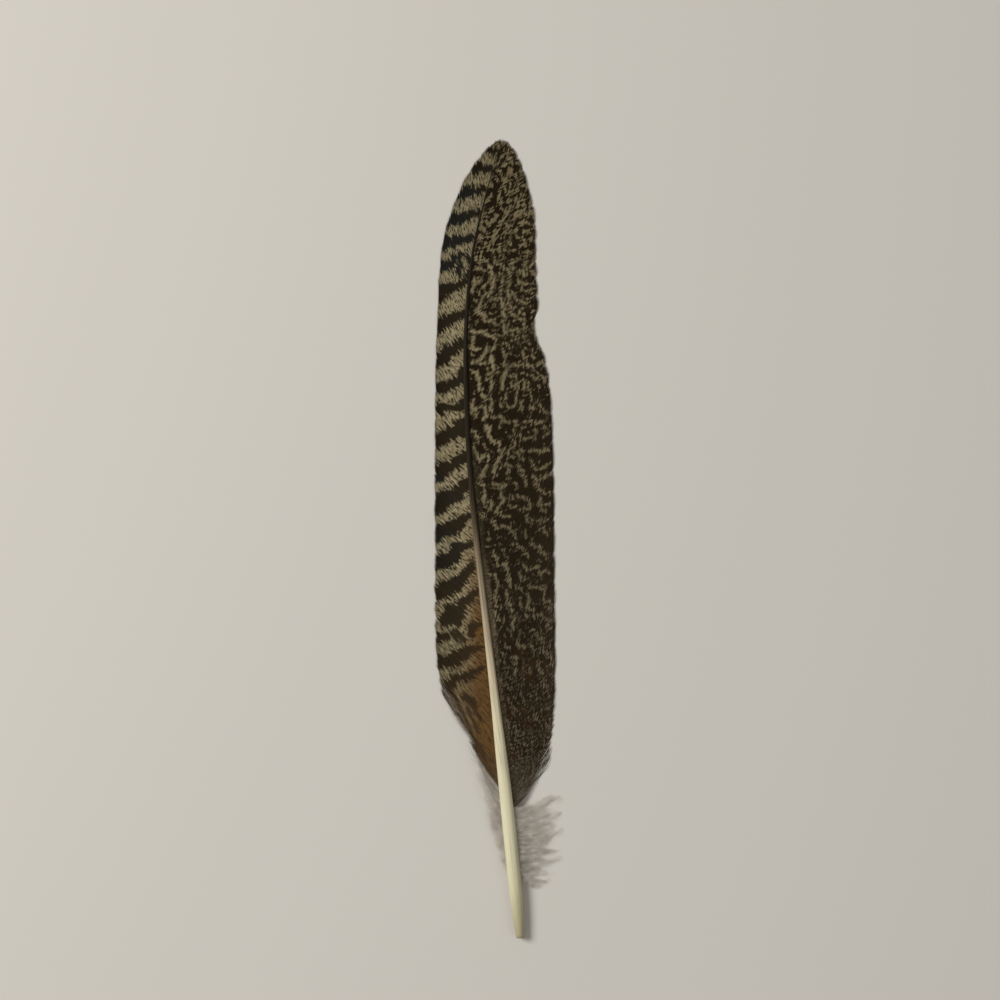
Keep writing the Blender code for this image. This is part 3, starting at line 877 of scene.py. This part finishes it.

# The longer cream lines, in pixels of the photograph: how wide each is, then points listed along it.
CREAM_LINES = (
    (3, (474, 259), (480, 261), (487, 262)),
    (2.5, (475, 270), (481, 269), (486, 271)),
    (4, (490, 266), (492, 271), (493, 277)),
    (3, (499, 263), (504, 266), (509, 269)),
    (2.6, (509, 269), (510, 280), (509, 290), (509, 300), (506, 309)),
    (2.4, (503, 278), (502, 285), (502, 293)),
    (3, (497, 276), (494, 284), (492, 291), (489, 297)),
    (3, (491, 299), (497, 299), (502, 298), (503, 303), (502, 309)),
    (2.5, (483, 299), (480, 306), (478, 311)),
    (5, (477, 312), (481, 313), (486, 316)),
    (3, (485, 320), (489, 323), (493, 321), (497, 323)),
    (2.5, (504, 320), (505, 326), (504, 332)),
    (2.5, (509, 325), (507, 333), (506, 336)),
    (4, (504, 311), (507, 315)),
    (3, (512, 311), (514, 316), (518, 320), (522, 321), (524, 326), (526, 331)),
    (1.8, (531, 328), (535, 334), (538, 341), (542, 349)),
    (4, (472, 331), (478, 333), (485, 333), (491, 334), (495, 338)),
    (3, (474, 338), (472, 343), (476, 348)),
    (3, (497, 340), (496, 346), (494, 350)),
    (2.6, (503, 345), (508, 347), (512, 350)),
    (3, (511, 332), (516, 331), (519, 334)),
    (3, (512, 294), (516, 296), (520, 299)),
    (2.6, (511, 303), (515, 307), (518, 306)),
    (3.5, (520, 270), (524, 272), (526, 276)),
    (3, (519, 280), (521, 284), (524, 288)),
    (3, (512, 263), (516, 261)),
    (2.6, (531, 267), (535, 262)),
    (3, (532, 294), (537, 297)),
    (2.4, (522, 300), (526, 306)),
    (3, (475, 279), (474, 286), (473, 293)),
    (2.4, (478, 284), (482, 280)),
    (2.4, (484, 288), (488, 283)),
    (2.4, (484, 296), (488, 293)),
    (2.4, (524, 335), (528, 341)),
    (2.4, (516, 338), (519, 343)),
    (2.4, (525, 257), (528, 262)),
    (2.4, (519, 313), (523, 309)),
    (4, (476, 371), (477, 378), (479, 385), (480, 391)),
    (4, (481, 391), (484, 396), (489, 399)),
    (3.5, (471, 347), (476, 349), (481, 348)),
    (3.6, (488, 347), (486, 354), (482, 358), (484, 365)),
    (3.4, (473, 363), (478, 362), (482, 360)),
    (5, (491, 358), (491, 364), (494, 369)),
    (3, (494, 369), (499, 372)),
    (2, (487, 376), (491, 374), (495, 371)),
    (3.2, (487, 380), (492, 379), (493, 384), (491, 391)),
    (3, (502, 352), (506, 356), (505, 363)),
    (2.8, (505, 365), (510, 366), (516, 365), (524, 366)),
    (3.8, (507, 370), (505, 376), (503, 382), (503, 389)),
    (2.4, (511, 375), (514, 378), (518, 377)),
    (2.8, (511, 385), (516, 384), (521, 382), (524, 384), (524, 391)),
    (2.2, (516, 385), (517, 391)),
    (2.4, (508, 391), (507, 399)),
    (2.6, (501, 400), (503, 406), (508, 409), (514, 407), (517, 404)),
    (2.4, (517, 393), (516, 399), (517, 404)),
    (2.6, (528, 383), (529, 390), (532, 392)),
    (2.4, (522, 401), (521, 407), (521, 413)),
    (2.2, (530, 399), (533, 405), (532, 411)),
    (2.2, (536, 402), (537, 408)),
    (2.6, (541, 405), (544, 411), (548, 417)),
    (2.8, (523, 352), (525, 357), (529, 362), (530, 368), (534, 371)),
    (2.4, (533, 352), (536, 358)),
    (2.8, (538, 366), (543, 362), (547, 367)),
    (2.4, (532, 376), (536, 380), (540, 377), (543, 382), (548, 378)),
    (3.4, (473, 402), (473, 409), (478, 409)),
    (3.4, (483, 405), (486, 409), (487, 416), (484, 420)),
    (2.8, (490, 398), (493, 402), (491, 409), (493, 414), (496, 418), (502, 418), (504, 421), (509, 422),
     (514, 424), (521, 423), (526, 427)),
    (3.2, (528, 420), (533, 421), (536, 424), (541, 423), (547, 427)),
    (4.4, (488, 425), (489, 431), (488, 436), (492, 440), (497, 445), (501, 448)),
    (3, (501, 448), (504, 451), (502, 456), (500, 461)),
    (2.2, (471, 414), (474, 411), (478, 414), (475, 418)),
    (3.8, (472, 431), (476, 434), (480, 437)),
    (2.4, (514, 425), (516, 430)),
    (2.6, (512, 435), (515, 439), (516, 445), (514, 448), (509, 449)),
    (2.6, (521, 433), (523, 440), (529, 439), (535, 438)),
    (2, (535, 430), (537, 438)),
    (2.2, (545, 437), (549, 433)),
    (2.2, (502, 422), (500, 428)),
    (3.8, (472, 448), (475, 453), (479, 457), (480, 461)),
    (3.8, (482, 459), (485, 456), (488, 461), (489, 464)),
    (2.8, (489, 464), (487, 468), (484, 472), (482, 478), (481, 482)),
    (3.6, (497, 461), (497, 467), (494, 471), (497, 476)),
    (3, (509, 452), (510, 457), (514, 458)),
    (2.6, (518, 452), (519, 457)),
    (2.8, (521, 450), (523, 455), (525, 459)),
    (3, (503, 466), (507, 464), (511, 468)),
    (3, (509, 471), (507, 475), (511, 478)),
    (2.8, (519, 463), (521, 468), (524, 473)),
    (2.8, (521, 476), (527, 478), (528, 484)),
    (2.8, (531, 450), (534, 449), (537, 452), (541, 452), (545, 450), (550, 448)),
    (2.8, (531, 462), (534, 466), (538, 468), (543, 467), (547, 465), (550, 463)),
    (2.8, (535, 474), (538, 479), (543, 479), (547, 476), (553, 474)),
    (2.8, (536, 482), (539, 487), (541, 491), (545, 493), (550, 495)),
    (3.4, (482, 484), (486, 486)),
    (3.6, (485, 492), (485, 497), (483, 502), (487, 505)),
    (3.2, (493, 484), (497, 486), (502, 487), (508, 484)),
    (2.8, (503, 491), (502, 497), (505, 500), (501, 505), (498, 509), (496, 514)),
    (2.8, (492, 500), (494, 504), (491, 509)),
    (2.6, (515, 484), (517, 488)),
    (2.6, (511, 497), (515, 498)),
    (2.6, (519, 495), (525, 496), (529, 500), (531, 505), (531, 509), (525, 510), (520, 510)),
    (2.8, (510, 503), (513, 506), (518, 505)),
    (2.4, (541, 498), (540, 504), (541, 510), (547, 512)),
    (2.4, (546, 505), (550, 505)),
    (2.8, (500, 513), (505, 515), (511, 515)),
    (2.4, (527, 516), (528, 521), (533, 523)),
    (2.4, (538, 522), (543, 521), (548, 521)),
    (3, (504, 525), (508, 526), (511, 530), (514, 534), (517, 538)),
    (2.8, (492, 521), (496, 523), (499, 527)),
    (2.4, (482, 514), (486, 518)),
    (2.2, (539, 529), (545, 529)),
    (2.8, (524, 533), (527, 537)),
    (2.6, (544, 531), (549, 534)),
    (2.6, (513, 544), (517, 547), (522, 548), (525, 552), (529, 557)),
    (2.6, (532, 540), (533, 546), (538, 547), (542, 546)),
    (2.2, (540, 551), (543, 555), (548, 559)),
    (2.8, (524, 565), (527, 569), (532, 570), (537, 568), (540, 572)),
    (2.4, (541, 575), (545, 571), (550, 573)),
    (2.8, (493, 552), (497, 559), (499, 566), (503, 567), (507, 564)),
    (3.2, (507, 566), (508, 573), (510, 579), (511, 586)),
    (2.6, (490, 574), (495, 577), (498, 582), (498, 587), (496, 594), (496, 600), (497, 606)),
    (2.4, (520, 573), (523, 580), (527, 581)),
    (2.4, (528, 588), (534, 587), (540, 588), (545, 590)),
    (2.2, (517, 586), (520, 590), (522, 592)),
    (2.4, (545, 592), (545, 597), (548, 602), (552, 606)),
    (2.4, (528, 594), (530, 599), (528, 605), (527, 609)),
    (2.6, (507, 591), (508, 598), (510, 604), (511, 611), (512, 616)),
    (2.2, (520, 600), (522, 607)),
    (2.4, (530, 608), (534, 613), (536, 616)),
    (2.4, (539, 612), (542, 617), (546, 620), (551, 622)),
    (2.4, (550, 609), (553, 614)),
    (2.8, (495, 611), (497, 616), (499, 622)),
    (2.6, (516, 617), (513, 624), (514, 630)),
    (2.2, (526, 613), (528, 618)),
    (2.4, (547, 625), (552, 629)),
    (2.8, (532, 630), (536, 634), (538, 638)),
    (2.8, (518, 641), (521, 645), (524, 649)),
    (2.4, (530, 645), (533, 648), (536, 652)),
    (2.4, (541, 651), (547, 652)),
    (2.4, (541, 638), (545, 644)),
    (2.4, (549, 655), (552, 661), (553, 666)),
    (2.4, (538, 663), (540, 670), (543, 675)),
    (2.6, (543, 681), (545, 686), (549, 688)),
    (2.4, (515, 656), (517, 662)),
    (2.4, (516, 670), (515, 676)),
    (2.2, (530, 669), (531, 674)),
    (2.4, (536, 713), (538, 719)),
    (2.4, (548, 722), (552, 728)),
)
LINES_REACH = 0.030

# The marbling beside the shaft gives way to that of the margin about here, over a short way.
INNER_REACH = 0.0125
INNER_FADE = 0.006


def marbling(table, out, up):
    """Where each place lies on the cells of a marbling, and the level, order and heading of its marks."""
    y, pitch, level, order, heading = np.array(table).T
    steps = np.linspace(-0.17, 0.17, 700)
    climbed = np.cumsum((steps[1] - steps[0]) / np.interp(steps, y, pitch))
    cells = np.stack([out / np.interp(up, y, pitch), np.interp(up, steps, climbed), 0 * out], axis=-1)
    return cells, [np.interp(up, y, column) for column in (level, order, heading)]


cream_strokes = set_out(
    WIDE_SIDE,
    LINES_REACH,
    [[(*point, width) for point in points] for width, *points in CREAM_LINES],
    MM_PER_PIXEL,
)


def wide_marks(out, up, _share):
    """Where the wide vane is marbled, and where it is lined, dull, dusty, pale at its foot and downy."""
    marks = {}
    for zone, table in (("inner", INNER_MARBLING), ("outer", OUTER_MARBLING)):
        marks[zone + "_cells"], changes = marbling(table, out, up)
        for label, values in zip(("_level", "_order", "_heading"), changes):
            marks[zone + label] = values
    outer = np.clip((out - INNER_REACH) / INNER_FADE + 0.5, 0, 1)
    by_shaft = np.clip(1.9 - out / 0.0022, 0, 1)
    marks.update(
        {
            "line": stroke_depth(cream_strokes, out, up),
            "outer": outer,
            "dull": outer * np.interp(up, (0.040, 0.080), (0.22, 0.0)),
            "dusty": np.interp(up, (-0.060, -0.025, 0.010, 0.045), (1.0, 0.75, 0.4, 0.0)),
            "foot": np.interp(up, (-0.110, -0.092), (1.0, 0.0)),
            "fuzz": by_shaft * np.interp(up, (-0.11, -0.06, 0.02, 0.04), (1.0, 1.0, 0.8, 0.0)),
            # Low beside the shaft the fuzz is painted lighter: its own colour plus painted light against the
            # quill's shadow.
            "fuzz_low_and_painted_light": np.interp(up, (-0.030, -0.008), (1.0, 0.0)),
        }
    )
    return marks


def wide_looseness(root_y):
    """How far the lowest barbs have come unhooked from their neighbours."""
    return np.interp(root_y, (-0.115, -0.111, -0.105), (0.7, 0.40, 0.0))


# The colours of the wide vane. A pair is the darker and the paler streak of one colour.
DARK_BROWN = ((0.0085, 0.0055, 0.0025, 1), (0.016, 0.0105, 0.0045, 1))
DUSTY_BROWN = ((0.0085, 0.0055, 0.0025, 1), (0.024, 0.0165, 0.0085, 1))
RED_BROWN = (0.034, 0.015, 0.006, 1)
MARBLING_CREAM = ((0.130, 0.100, 0.052, 1), (0.215, 0.172, 0.095, 1))
DUSTY_CREAM = ((0.030, 0.022, 0.012, 1), (0.125, 0.100, 0.066, 1))
LINE_CREAM = ((0.170, 0.135, 0.073, 1), (0.27, 0.222, 0.128, 1))
DUSTY_LINE = ((0.100, 0.079, 0.048, 1), (0.175, 0.142, 0.090, 1))
FUZZ = ((0.012, 0.009, 0.005, 1), (0.075, 0.060, 0.034, 1))
# Low fuzz: its own grey-brown, painted lighter as painted light where the quill's shadow falls on it.
LOW_FUZZ_AND_PAINTED_LIGHT = ((0.090, 0.066, 0.038, 1), (0.185, 0.145, 0.090, 1))
WIDE_FOOT = ((0.05, 0.036, 0.022, 1), (0.14, 0.115, 0.082, 1))

# The marbling: cells cut off at a level, with ragged edges that are softer where the vane is dusty.
wide_barbs, tree, shader, strand, place, streak, long_streak = start_barbs("wide_vane_barbs", 0.8)
dusty = read_mark(tree, "dusty")
raggedness = stretch(tree, dusty, 0.3, 1.0, 0.10, 0.24)
softness = stretch(tree, dusty, 0.3, 1.0, 0.035, 0.09)
patches = add_patches(tree, place, 110.0)
thinner = stretch(tree, patches, 0.35, 0.65, -0.015, 0.05)
lights = []
for zone in ("inner", "outer"):
    cells = {
        "Vector": read_mark(tree, zone + "_cells", "Vector"),
        "Scale": 0.75,
        "Frequency": 1.33,
        "Anisotropy": read_mark(tree, zone + "_order"),
        "Orientation": read_mark(tree, zone + "_heading"),
    }
    above = add_node(tree, "ShaderNodeTexGabor", cells, gabor_type="2D").outputs["Value"]
    above = calculate(tree, "SUBTRACT", above, read_mark(tree, zone + "_level"))
    above = calculate(tree, "SUBTRACT", above, thinner)
    edge = {"Depth": above, "Streak": streak, "Raggedness": raggedness, "Softness": softness}
    lights.append(use_group(tree, ragged_edge, edge))
outer = calculate(tree, "ADD", read_mark(tree, "outer"), calculate(tree, "SUBTRACT", long_streak, 0.5))
outer = stretch(tree, outer, 0.35, 0.65)
light = add_node(tree, "ShaderNodeMix", {0: outer, 2: lights[0], 3: lights[1]}, data_type="FLOAT").outputs[0]

# The longer lines, with no marbling close beside them.
line = read_mark(tree, "line")
line_light = use_group(
    tree, ragged_edge, {"Depth": line, "Streak": streak, "Raggedness": 0.0012, "Softness": 0.0003}
)
light = calculate(tree, "MULTIPLY", light, stretch(tree, line, -0.0010, -0.0003, 1.0, 0.0))

# The brown ground and the cream on it.
dark_colour = blend_colours(tree, long_streak, *DARK_BROWN)
dark_dust = blend_colours(tree, streak, *DUSTY_BROWN)
red_patch = stretch(tree, calculate(tree, "MULTIPLY", dusty, patches), 0.56, 0.68, 0.0, 0.5)
dark_dust = blend_colours(tree, red_patch, dark_dust, RED_BROWN)
dark_colour = blend_colours(tree, dusty, dark_colour, dark_dust)
dull = read_mark(tree, "dull")
cream_colour = blend_colours(tree, long_streak, *MARBLING_CREAM)
cream_dust = blend_colours(tree, streak, *DUSTY_CREAM)
cream_colour = blend_colours(tree, dusty, cream_colour, cream_dust)
cream_colour = blend_colours(tree, dull, cream_colour, dark_colour)
colour = blend_colours(tree, light, dark_colour, cream_colour)
line_colour = blend_colours(tree, stretch(tree, line, 0.0001, 0.0008), *LINE_CREAM)
line_dust = blend_colours(tree, long_streak, *DUSTY_LINE)
line_colour = blend_colours(tree, calculate(tree, "MULTIPLY", dusty, 0.8), line_colour, line_dust)
line_colour = blend_colours(tree, dull, line_colour, dark_colour)
colour = blend_colours(tree, line_light, colour, line_colour)

# The short fuzz beside the shaft, and the pale foot. Low down, the fuzz carries painted light as well as its
# own colour: it is painted lighter where the quill casts its shadow on it.
fuzz_streak = stretch(tree, streak, 0.35, 0.65)
fuzz_colour = blend_colours(tree, fuzz_streak, *FUZZ)
low_fuzz_and_painted_light_colour = blend_colours(tree, fuzz_streak, *LOW_FUZZ_AND_PAINTED_LIGHT)
fuzz_colour = blend_colours(tree, read_mark(tree, "fuzz_low_and_painted_light"), fuzz_colour, low_fuzz_and_painted_light_colour)
fuzz = calculate(tree, "MULTIPLY", read_mark(tree, "fuzz"), 0.85)
colour = blend_colours(tree, fuzz, colour, fuzz_colour)
foot = calculate(tree, "MULTIPLY", read_mark(tree, "foot"), 0.8)
foot_colour = blend_colours(tree, long_streak, *WIDE_FOOT)
colour = blend_colours(tree, foot, colour, foot_colour)
finish_barbs(tree, shader, colour, streak, 0.4, 0.78)

wide_chance = random.Random("wide_side")
wide_edges = lock_edges(WIDE_SIDE, WIDE_VANE, WIDE_VANE_LOCKS, wide_chance)
notch_y = wide_edges[np.argmin(np.abs(wide_edges[:, 0] - NOTCH_Y)), 0]
below_notch, above_notch = (WIDE_VANE[0][0], notch_y), (notch_y, WIDE_VANE[-1][0])
wide_finish = (wide_looseness, wide_marks, wide_barbs)
wide_vane_below, wide_lines, wide_open = lay_vane(
    "wide_vane_below_notch", WIDE_SIDE, WIDE_VANE, below_notch, wide_edges, 23, *wide_finish
)
wide_vane_above, _, _ = lay_vane(
    "wide_vane_above_notch", WIDE_SIDE, WIDE_VANE, above_notch, wide_edges, 29, *wide_finish
)
for piece in (wide_vane_below, wide_vane_above):
    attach(piece, "root")
    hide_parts("feather")


# The down at the foot of each vane: soft barbs with no hooks, so nothing holds them in a sheet. Each is a
# thread with hair-fine barbules down both sides. It is smoke grey, stands out from the quill on the wide side
# and lies close along it on the narrow side, where a short brown fuzz also grows beside the quill.
WIDE_DOWN = (
    (-0.1410, -0.1430, 0.0120),
    (-0.1330, -0.1325, 0.0180),
    (-0.1240, -0.1210, 0.0205),
    (-0.1130, -0.1092, 0.0200),
)
NARROW_DOWN = (
    (-0.1400, -0.1290, 0.0058),
    (-0.1320, -0.1180, 0.0080),
    (-0.1220, -0.1050, 0.0108),
    (-0.1140, -0.0930, 0.0142),
    (-0.1080, -0.0780, 0.0165),
)
NARROW_FUZZ = (
    (-0.1240, -0.1170, 0.0040),
    (-0.1160, -0.1050, 0.0062),
    (-0.1080, -0.0920, 0.0098),
    (-0.0980, -0.0720, 0.0160),
)
DOWN_THREAD_RADIUS = 0.00009
FUZZ_THREAD_RADIUS = 0.00022
FOOT_FINENESS = 0.3
DOWN_RINGS = 30
DOWN_BUNDLE = 4
BARBULE_SPACING = 0.00020
BARBULE_LENGTH = 0.0013
BARBULE_RADIUS = 0.00002
BARBULE_STEP = 0.0004
FLOOR_CLEARANCE = 0.00006
UPRIGHT = np.array([0.0, 0.0, 1.0])


def curl(line, noise, size):
    """Down barbs wander: slow waves that grow along each one, and that the barbs of one bundle share."""
    count, length = line.shape[:2]
    along = np.linspace(0, 1, length)
    bundle = np.arange(count) // DOWN_BUNDLE
    for axis, most in ((0, 0.35), (1, 1.0), (2, 0.7)):
        for waves in (1.1, 2.6, 4.8):
            phase = noise.uniform(0, 2 * math.pi, (count, 1))[bundle] + noise.uniform(-0.6, 0.6, (count, 1))
            height = noise.uniform(0.4, 1.0, (count, 1)) * size * most / waves
            line[..., axis] += height * along * np.sin(2 * math.pi * waves * along + phase)
    line[..., 2] = np.maximum(line[..., 2], 3 * FLOOR_CLEARANCE)
    return line


def three_corners(line, way, radius):
    """Three corners round each point of lines that run one way: to the left, above and to the right."""
    level = np.cross(way, UPRIGHT)
    level = level / (np.linalg.norm(level, axis=-1, keepdims=True) + 1e-12)
    return np.stack([line + radius * level, line + radius * UPRIGHT, line - radius * level], axis=2)


def barbules(line, weight, noise):
    """Hair-fine spindles down both sides of each line, where weight says that it carries them."""
    steps = np.linalg.norm(np.diff(line, axis=1), axis=-1)
    length = np.concatenate([np.zeros((len(line), 1)), np.cumsum(steps, axis=1)], axis=1)
    roots, ways, barb_numbers, shares = [], [], [], []
    for number, (points, far) in enumerate(zip(line, length)):
        spots = np.arange(0.0008, far[-1], BARBULE_SPACING)
        if not len(spots):
            continue
        spots = spots + noise.uniform(-0.4, 0.4, len(spots)) * BARBULE_SPACING
        keep = noise.uniform(0, 1, len(spots)) < np.interp(spots, far, weight[number])
        spots = spots[keep]
        behind, place, ahead = (
            np.stack([np.interp(spots + step, far, points[:, axis]) for axis in range(3)], axis=-1)
            for step in (-BARBULE_STEP, 0.0, BARBULE_STEP)
        )
        way = ahead - behind
        roots.append(place)
        ways.append(way / (np.linalg.norm(way, axis=-1, keepdims=True) + 1e-9))
        barb_numbers.append(np.full(len(spots), number))
        shares.append(spots / far[-1])
    root = np.repeat(np.concatenate(roots), 2, axis=0)
    way = np.repeat(np.concatenate(ways), 2, axis=0)
    number = np.repeat(np.concatenate(barb_numbers), 2)
    share = np.repeat(np.concatenate(shares), 2)
    count = len(root)
    hand = np.tile([1.0, -1.0], count // 2)[:, None]
    beside = np.stack([-way[:, 1], way[:, 0], 0 * way[:, 0]], axis=-1) * hand
    lean = noise.uniform(0.7, 1.25, (count, 1))
    lift = noise.uniform(-0.35, 0.6, (count, 1)) * np.array([[0, 0, 1.0]])
    shorter = np.clip((1.15 - share) / 0.4, 0.25, 1)[:, None]
    size = BARBULE_LENGTH * noise.uniform(0.6, 1.15, (count, 1)) * shorter
    start = (way * np.cos(lean * 1.15) + beside * np.sin(lean * 1.15) + lift) * size
    finish = (way * np.cos(lean * 0.6) + beside * np.sin(lean * 0.6) + 0.6 * lift) * size
    middle = root + 0.5 * start
    end = middle + 0.55 * finish
    return root, three_corners(middle[:, None], start[:, None], BARBULE_RADIUS), end, number, share


def grow_down(name, side, barbs, count, thread, size, vane_line, vane_weight, seed, material):
    """The down of one side: its own threads, with barbules on them and on the loose barbs of the vane."""
    noise = np.random.default_rng(seed)
    bundle = np.arange(count) // DOWN_BUNDLE
    root_y = np.linspace(barbs[0][0], barbs[-1][0], count)
    bundle_y = root_y[bundle * DOWN_BUNDLE] + DOWN_BUNDLE / 2 * (root_y[1] - root_y[0])
    root_y = root_y + 0.45 * (bundle_y - root_y)
    root_y = np.clip(root_y + noise.uniform(-0.0002, 0.0002, count), barbs[0][0], barbs[-1][0])
    share = np.linspace(0, 1, DOWN_RINGS)
    along = share * noise.uniform(0.66, 1.02, (count, 1))[bundle] * noise.uniform(0.84, 1.04, (count, 1))
    line = barb_line(side, barbs, root_y[:, None], along)
    line[..., 2] += noise.uniform(-0.5, 2.2, (count, 1)) * 0.0006 * share
    line = curl(line, noise, size)
    finer = np.clip(FOOT_FINENESS + 2.0 * np.arange(count) / count, 0, 1)[:, None]
    radius = thread * (1.15 - share) * finer
    root_point = line[:, 0] - 0.3 * (line[:, 1] - line[:, 0])
    tip_point = line[:, -1] + 0.5 * (line[:, -1] - line[:, -2])
    rings = three_corners(line, np.gradient(line, axis=1), radius[..., None])
    points, quads, ends = strands(rings, root_point, tip_point, False)
    numbers = np.arange(count)[:, None] + np.concatenate([[0.5], np.tile([0.1, 0.5, 0.9], DOWN_RINGS), [0.5]])
    shares = at_corners(np.broadcast_to(0.02 + 0.96 * share, (count, DOWN_RINGS)).copy())
    shares[:, 0], shares[:, -1] = 0.0, 1.0
    thread_map = np.stack([numbers.ravel(), shares.ravel()], axis=-1)

    down_weight = np.broadcast_to(np.clip(share * 8, 0, 1), (count, DOWN_RINGS))
    first = barbules(line, down_weight, noise)
    loose = vane_weight.max(axis=1) > 0.05
    second = [values[:0] for values in first]
    if loose.any():
        second = barbules(vane_line[loose], 0.35 * vane_weight[loose], noise)
    root, ring, end = (np.concatenate([a, b]) for a, b in zip(first[:3], second[:3]))
    number = np.concatenate([first[3], second[3] % count])
    share_on = np.concatenate([first[4], second[4]])
    hairs, _, hair_ends = strands(ring, root, end, False)
    width, height = 0.8, 0.03
    base_u, base_v = number + 0.1, np.clip(share_on, 0.01, 0.95)
    hair_map = np.stack(
        [
            np.stack([base_u + width * u for u in (0.5, 0.0, 0.5, 1.0, 0.5)], axis=1),
            np.stack([base_v + height * v for v in (0.0, 0.5, 0.6, 0.5, 1.0)], axis=1),
        ],
        axis=-1,
    ).reshape(-1, 2)
    all_points = np.concatenate([points, hairs])
    all_points[:, 2] = np.maximum(all_points[:, 2], FLOOR_CLEARANCE)
    all_map = np.concatenate([thread_map, hair_map]) / np.array([count, 1.0])
    faces = quads.tolist() + ends.tolist() + (hair_ends + len(points)).tolist()
    corners = np.concatenate([quads.ravel(), ends.ravel(), (hair_ends + len(points)).ravel()])
    tone = noise.uniform(-1, 1, count)
    marks = {
        "strand": np.stack([all_map[:, 0] * count, all_map[:, 1] * 0.02, 0 * all_map[:, 0]], axis=-1),
        "barb_tone": tone[np.clip(all_map[:, 0] * count, 0, count - 1).astype(int)],
    }
    return make_piece(name, all_points, faces, all_map[corners], marks, material)


def down_material(name, dark, pale):
    """Soft barbs of one colour, streaked along their length and dull."""
    material, tree, shader = new_material(name)
    strand = read_mark(tree, "strand", "Vector")
    tone = read_mark(tree, "barb_tone")
    streak = use_group(tree, fine_streaks, {"Place": strand, "Width": 1.2, "Length": 0.004})
    colour = blend_colours(tree, streak, dark, pale)
    grained = {"Color": colour, "Streak": streak, "Barb Tone": tone, "Amount": 0.35}
    tree.links.new(use_group(tree, barb_grain, grained), shader.inputs["Base Color"])
    tree.links.new(stretch(tree, streak, 0, 1, 0.6, 0.8), shader.inputs["Roughness"])
    bump = add_node(tree, "ShaderNodeBump", {"Height": streak, "Strength": 0.5, "Distance": 0.00001})
    tree.links.new(bump.outputs[0], shader.inputs["Normal"])
    return material, shader


smoke_grey_down, shader = down_material("smoke_grey_down", (0.36, 0.31, 0.25, 1), (0.72, 0.67, 0.59, 1))
shader.inputs["Sheen Weight"].default_value = 0.15
shader.inputs["Sheen Roughness"].default_value = 0.5

fox_red_fuzz, shader = down_material("fox_red_fuzz", (0.062, 0.034, 0.014, 1), (0.150, 0.092, 0.045, 1))
shader.inputs["Specular IOR Level"].default_value = 0.10

wide_down = grow_down(
    "wide_down",
    WIDE_SIDE,
    WIDE_DOWN,
    count=72,
    thread=DOWN_THREAD_RADIUS,
    size=0.0013,
    vane_line=wide_lines,
    vane_weight=wide_open,
    seed=31,
    material=smoke_grey_down,
)
narrow_down = grow_down(
    "narrow_down",
    NARROW_SIDE,
    NARROW_DOWN,
    count=60,
    thread=DOWN_THREAD_RADIUS,
    size=0.0008,
    vane_line=narrow_lines,
    vane_weight=0 * narrow_open,
    seed=37,
    material=smoke_grey_down,
)
narrow_fuzz = grow_down(
    "narrow_fuzz",
    NARROW_SIDE,
    NARROW_FUZZ,
    count=120,
    thread=FUZZ_THREAD_RADIUS,
    size=0.0001,
    vane_line=narrow_lines,
    vane_weight=narrow_open,
    seed=41,
    material=fox_red_fuzz,
)
for piece in (wide_down, narrow_down, narrow_fuzz):
    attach(piece, "root")
    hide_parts("feather")


# The floor that the feather lies on: a plain pale sheet, matt.
FLOOR_HALF = 4.0
FLOOR_COLOUR = (0.56, 0.53, 0.475, 1.0)
floor_mesh = bpy.data.meshes.new("floor")
floor_corners = ((-1, -1), (1, -1), (1, 1), (-1, 1))
floor_mesh.from_pydata([(FLOOR_HALF * x, FLOOR_HALF * y, 0.0) for x, y in floor_corners], [], [(0, 1, 2, 3)])
floor = bpy.data.objects.new("floor", floor_mesh)
bpy.context.scene.collection.objects.link(floor)
floor_material, tree, shader = new_material("pale_floor")
shader.inputs["Base Color"].default_value = FLOOR_COLOUR
shader.inputs["Roughness"].default_value = 0.9
floor_mesh.materials.append(floor_material)


# The light: a broad soft window on the left and above, a weaker one from the right to open the shadows, and a
# pale room around. Both lamps aim at the middle of the feather.
def add_light(name, place, size, power):
    lamp = bpy.data.lights.new(name, "AREA")
    lamp.shape = "DISK"
    lamp.size = size
    lamp.energy = power
    light = bpy.data.objects.new(name, lamp)
    light.location = place
    direction = -np.array(place)
    light.rotation_euler = (
        math.acos(-direction[2] / np.linalg.norm(direction)),
        0.0,
        math.atan2(direction[1], direction[0]) - math.pi / 2,
    )
    bpy.context.scene.collection.objects.link(light)


add_light("window", (-1.60, 0.50, 1.50), size=1.0, power=50.0)
add_light("reflector", (1.8, -0.6, 1.8), size=1.8, power=8.8)
world = bpy.data.worlds.new("pale_room")
world.use_nodes = True
room = world.node_tree.nodes["Background"]
room.inputs["Color"].default_value = (1.0, 0.985, 0.96, 1.0)
room.inputs["Strength"].default_value = 0.28
bpy.context.scene.world = world
bpy.context.scene.view_settings.view_transform = "Standard"
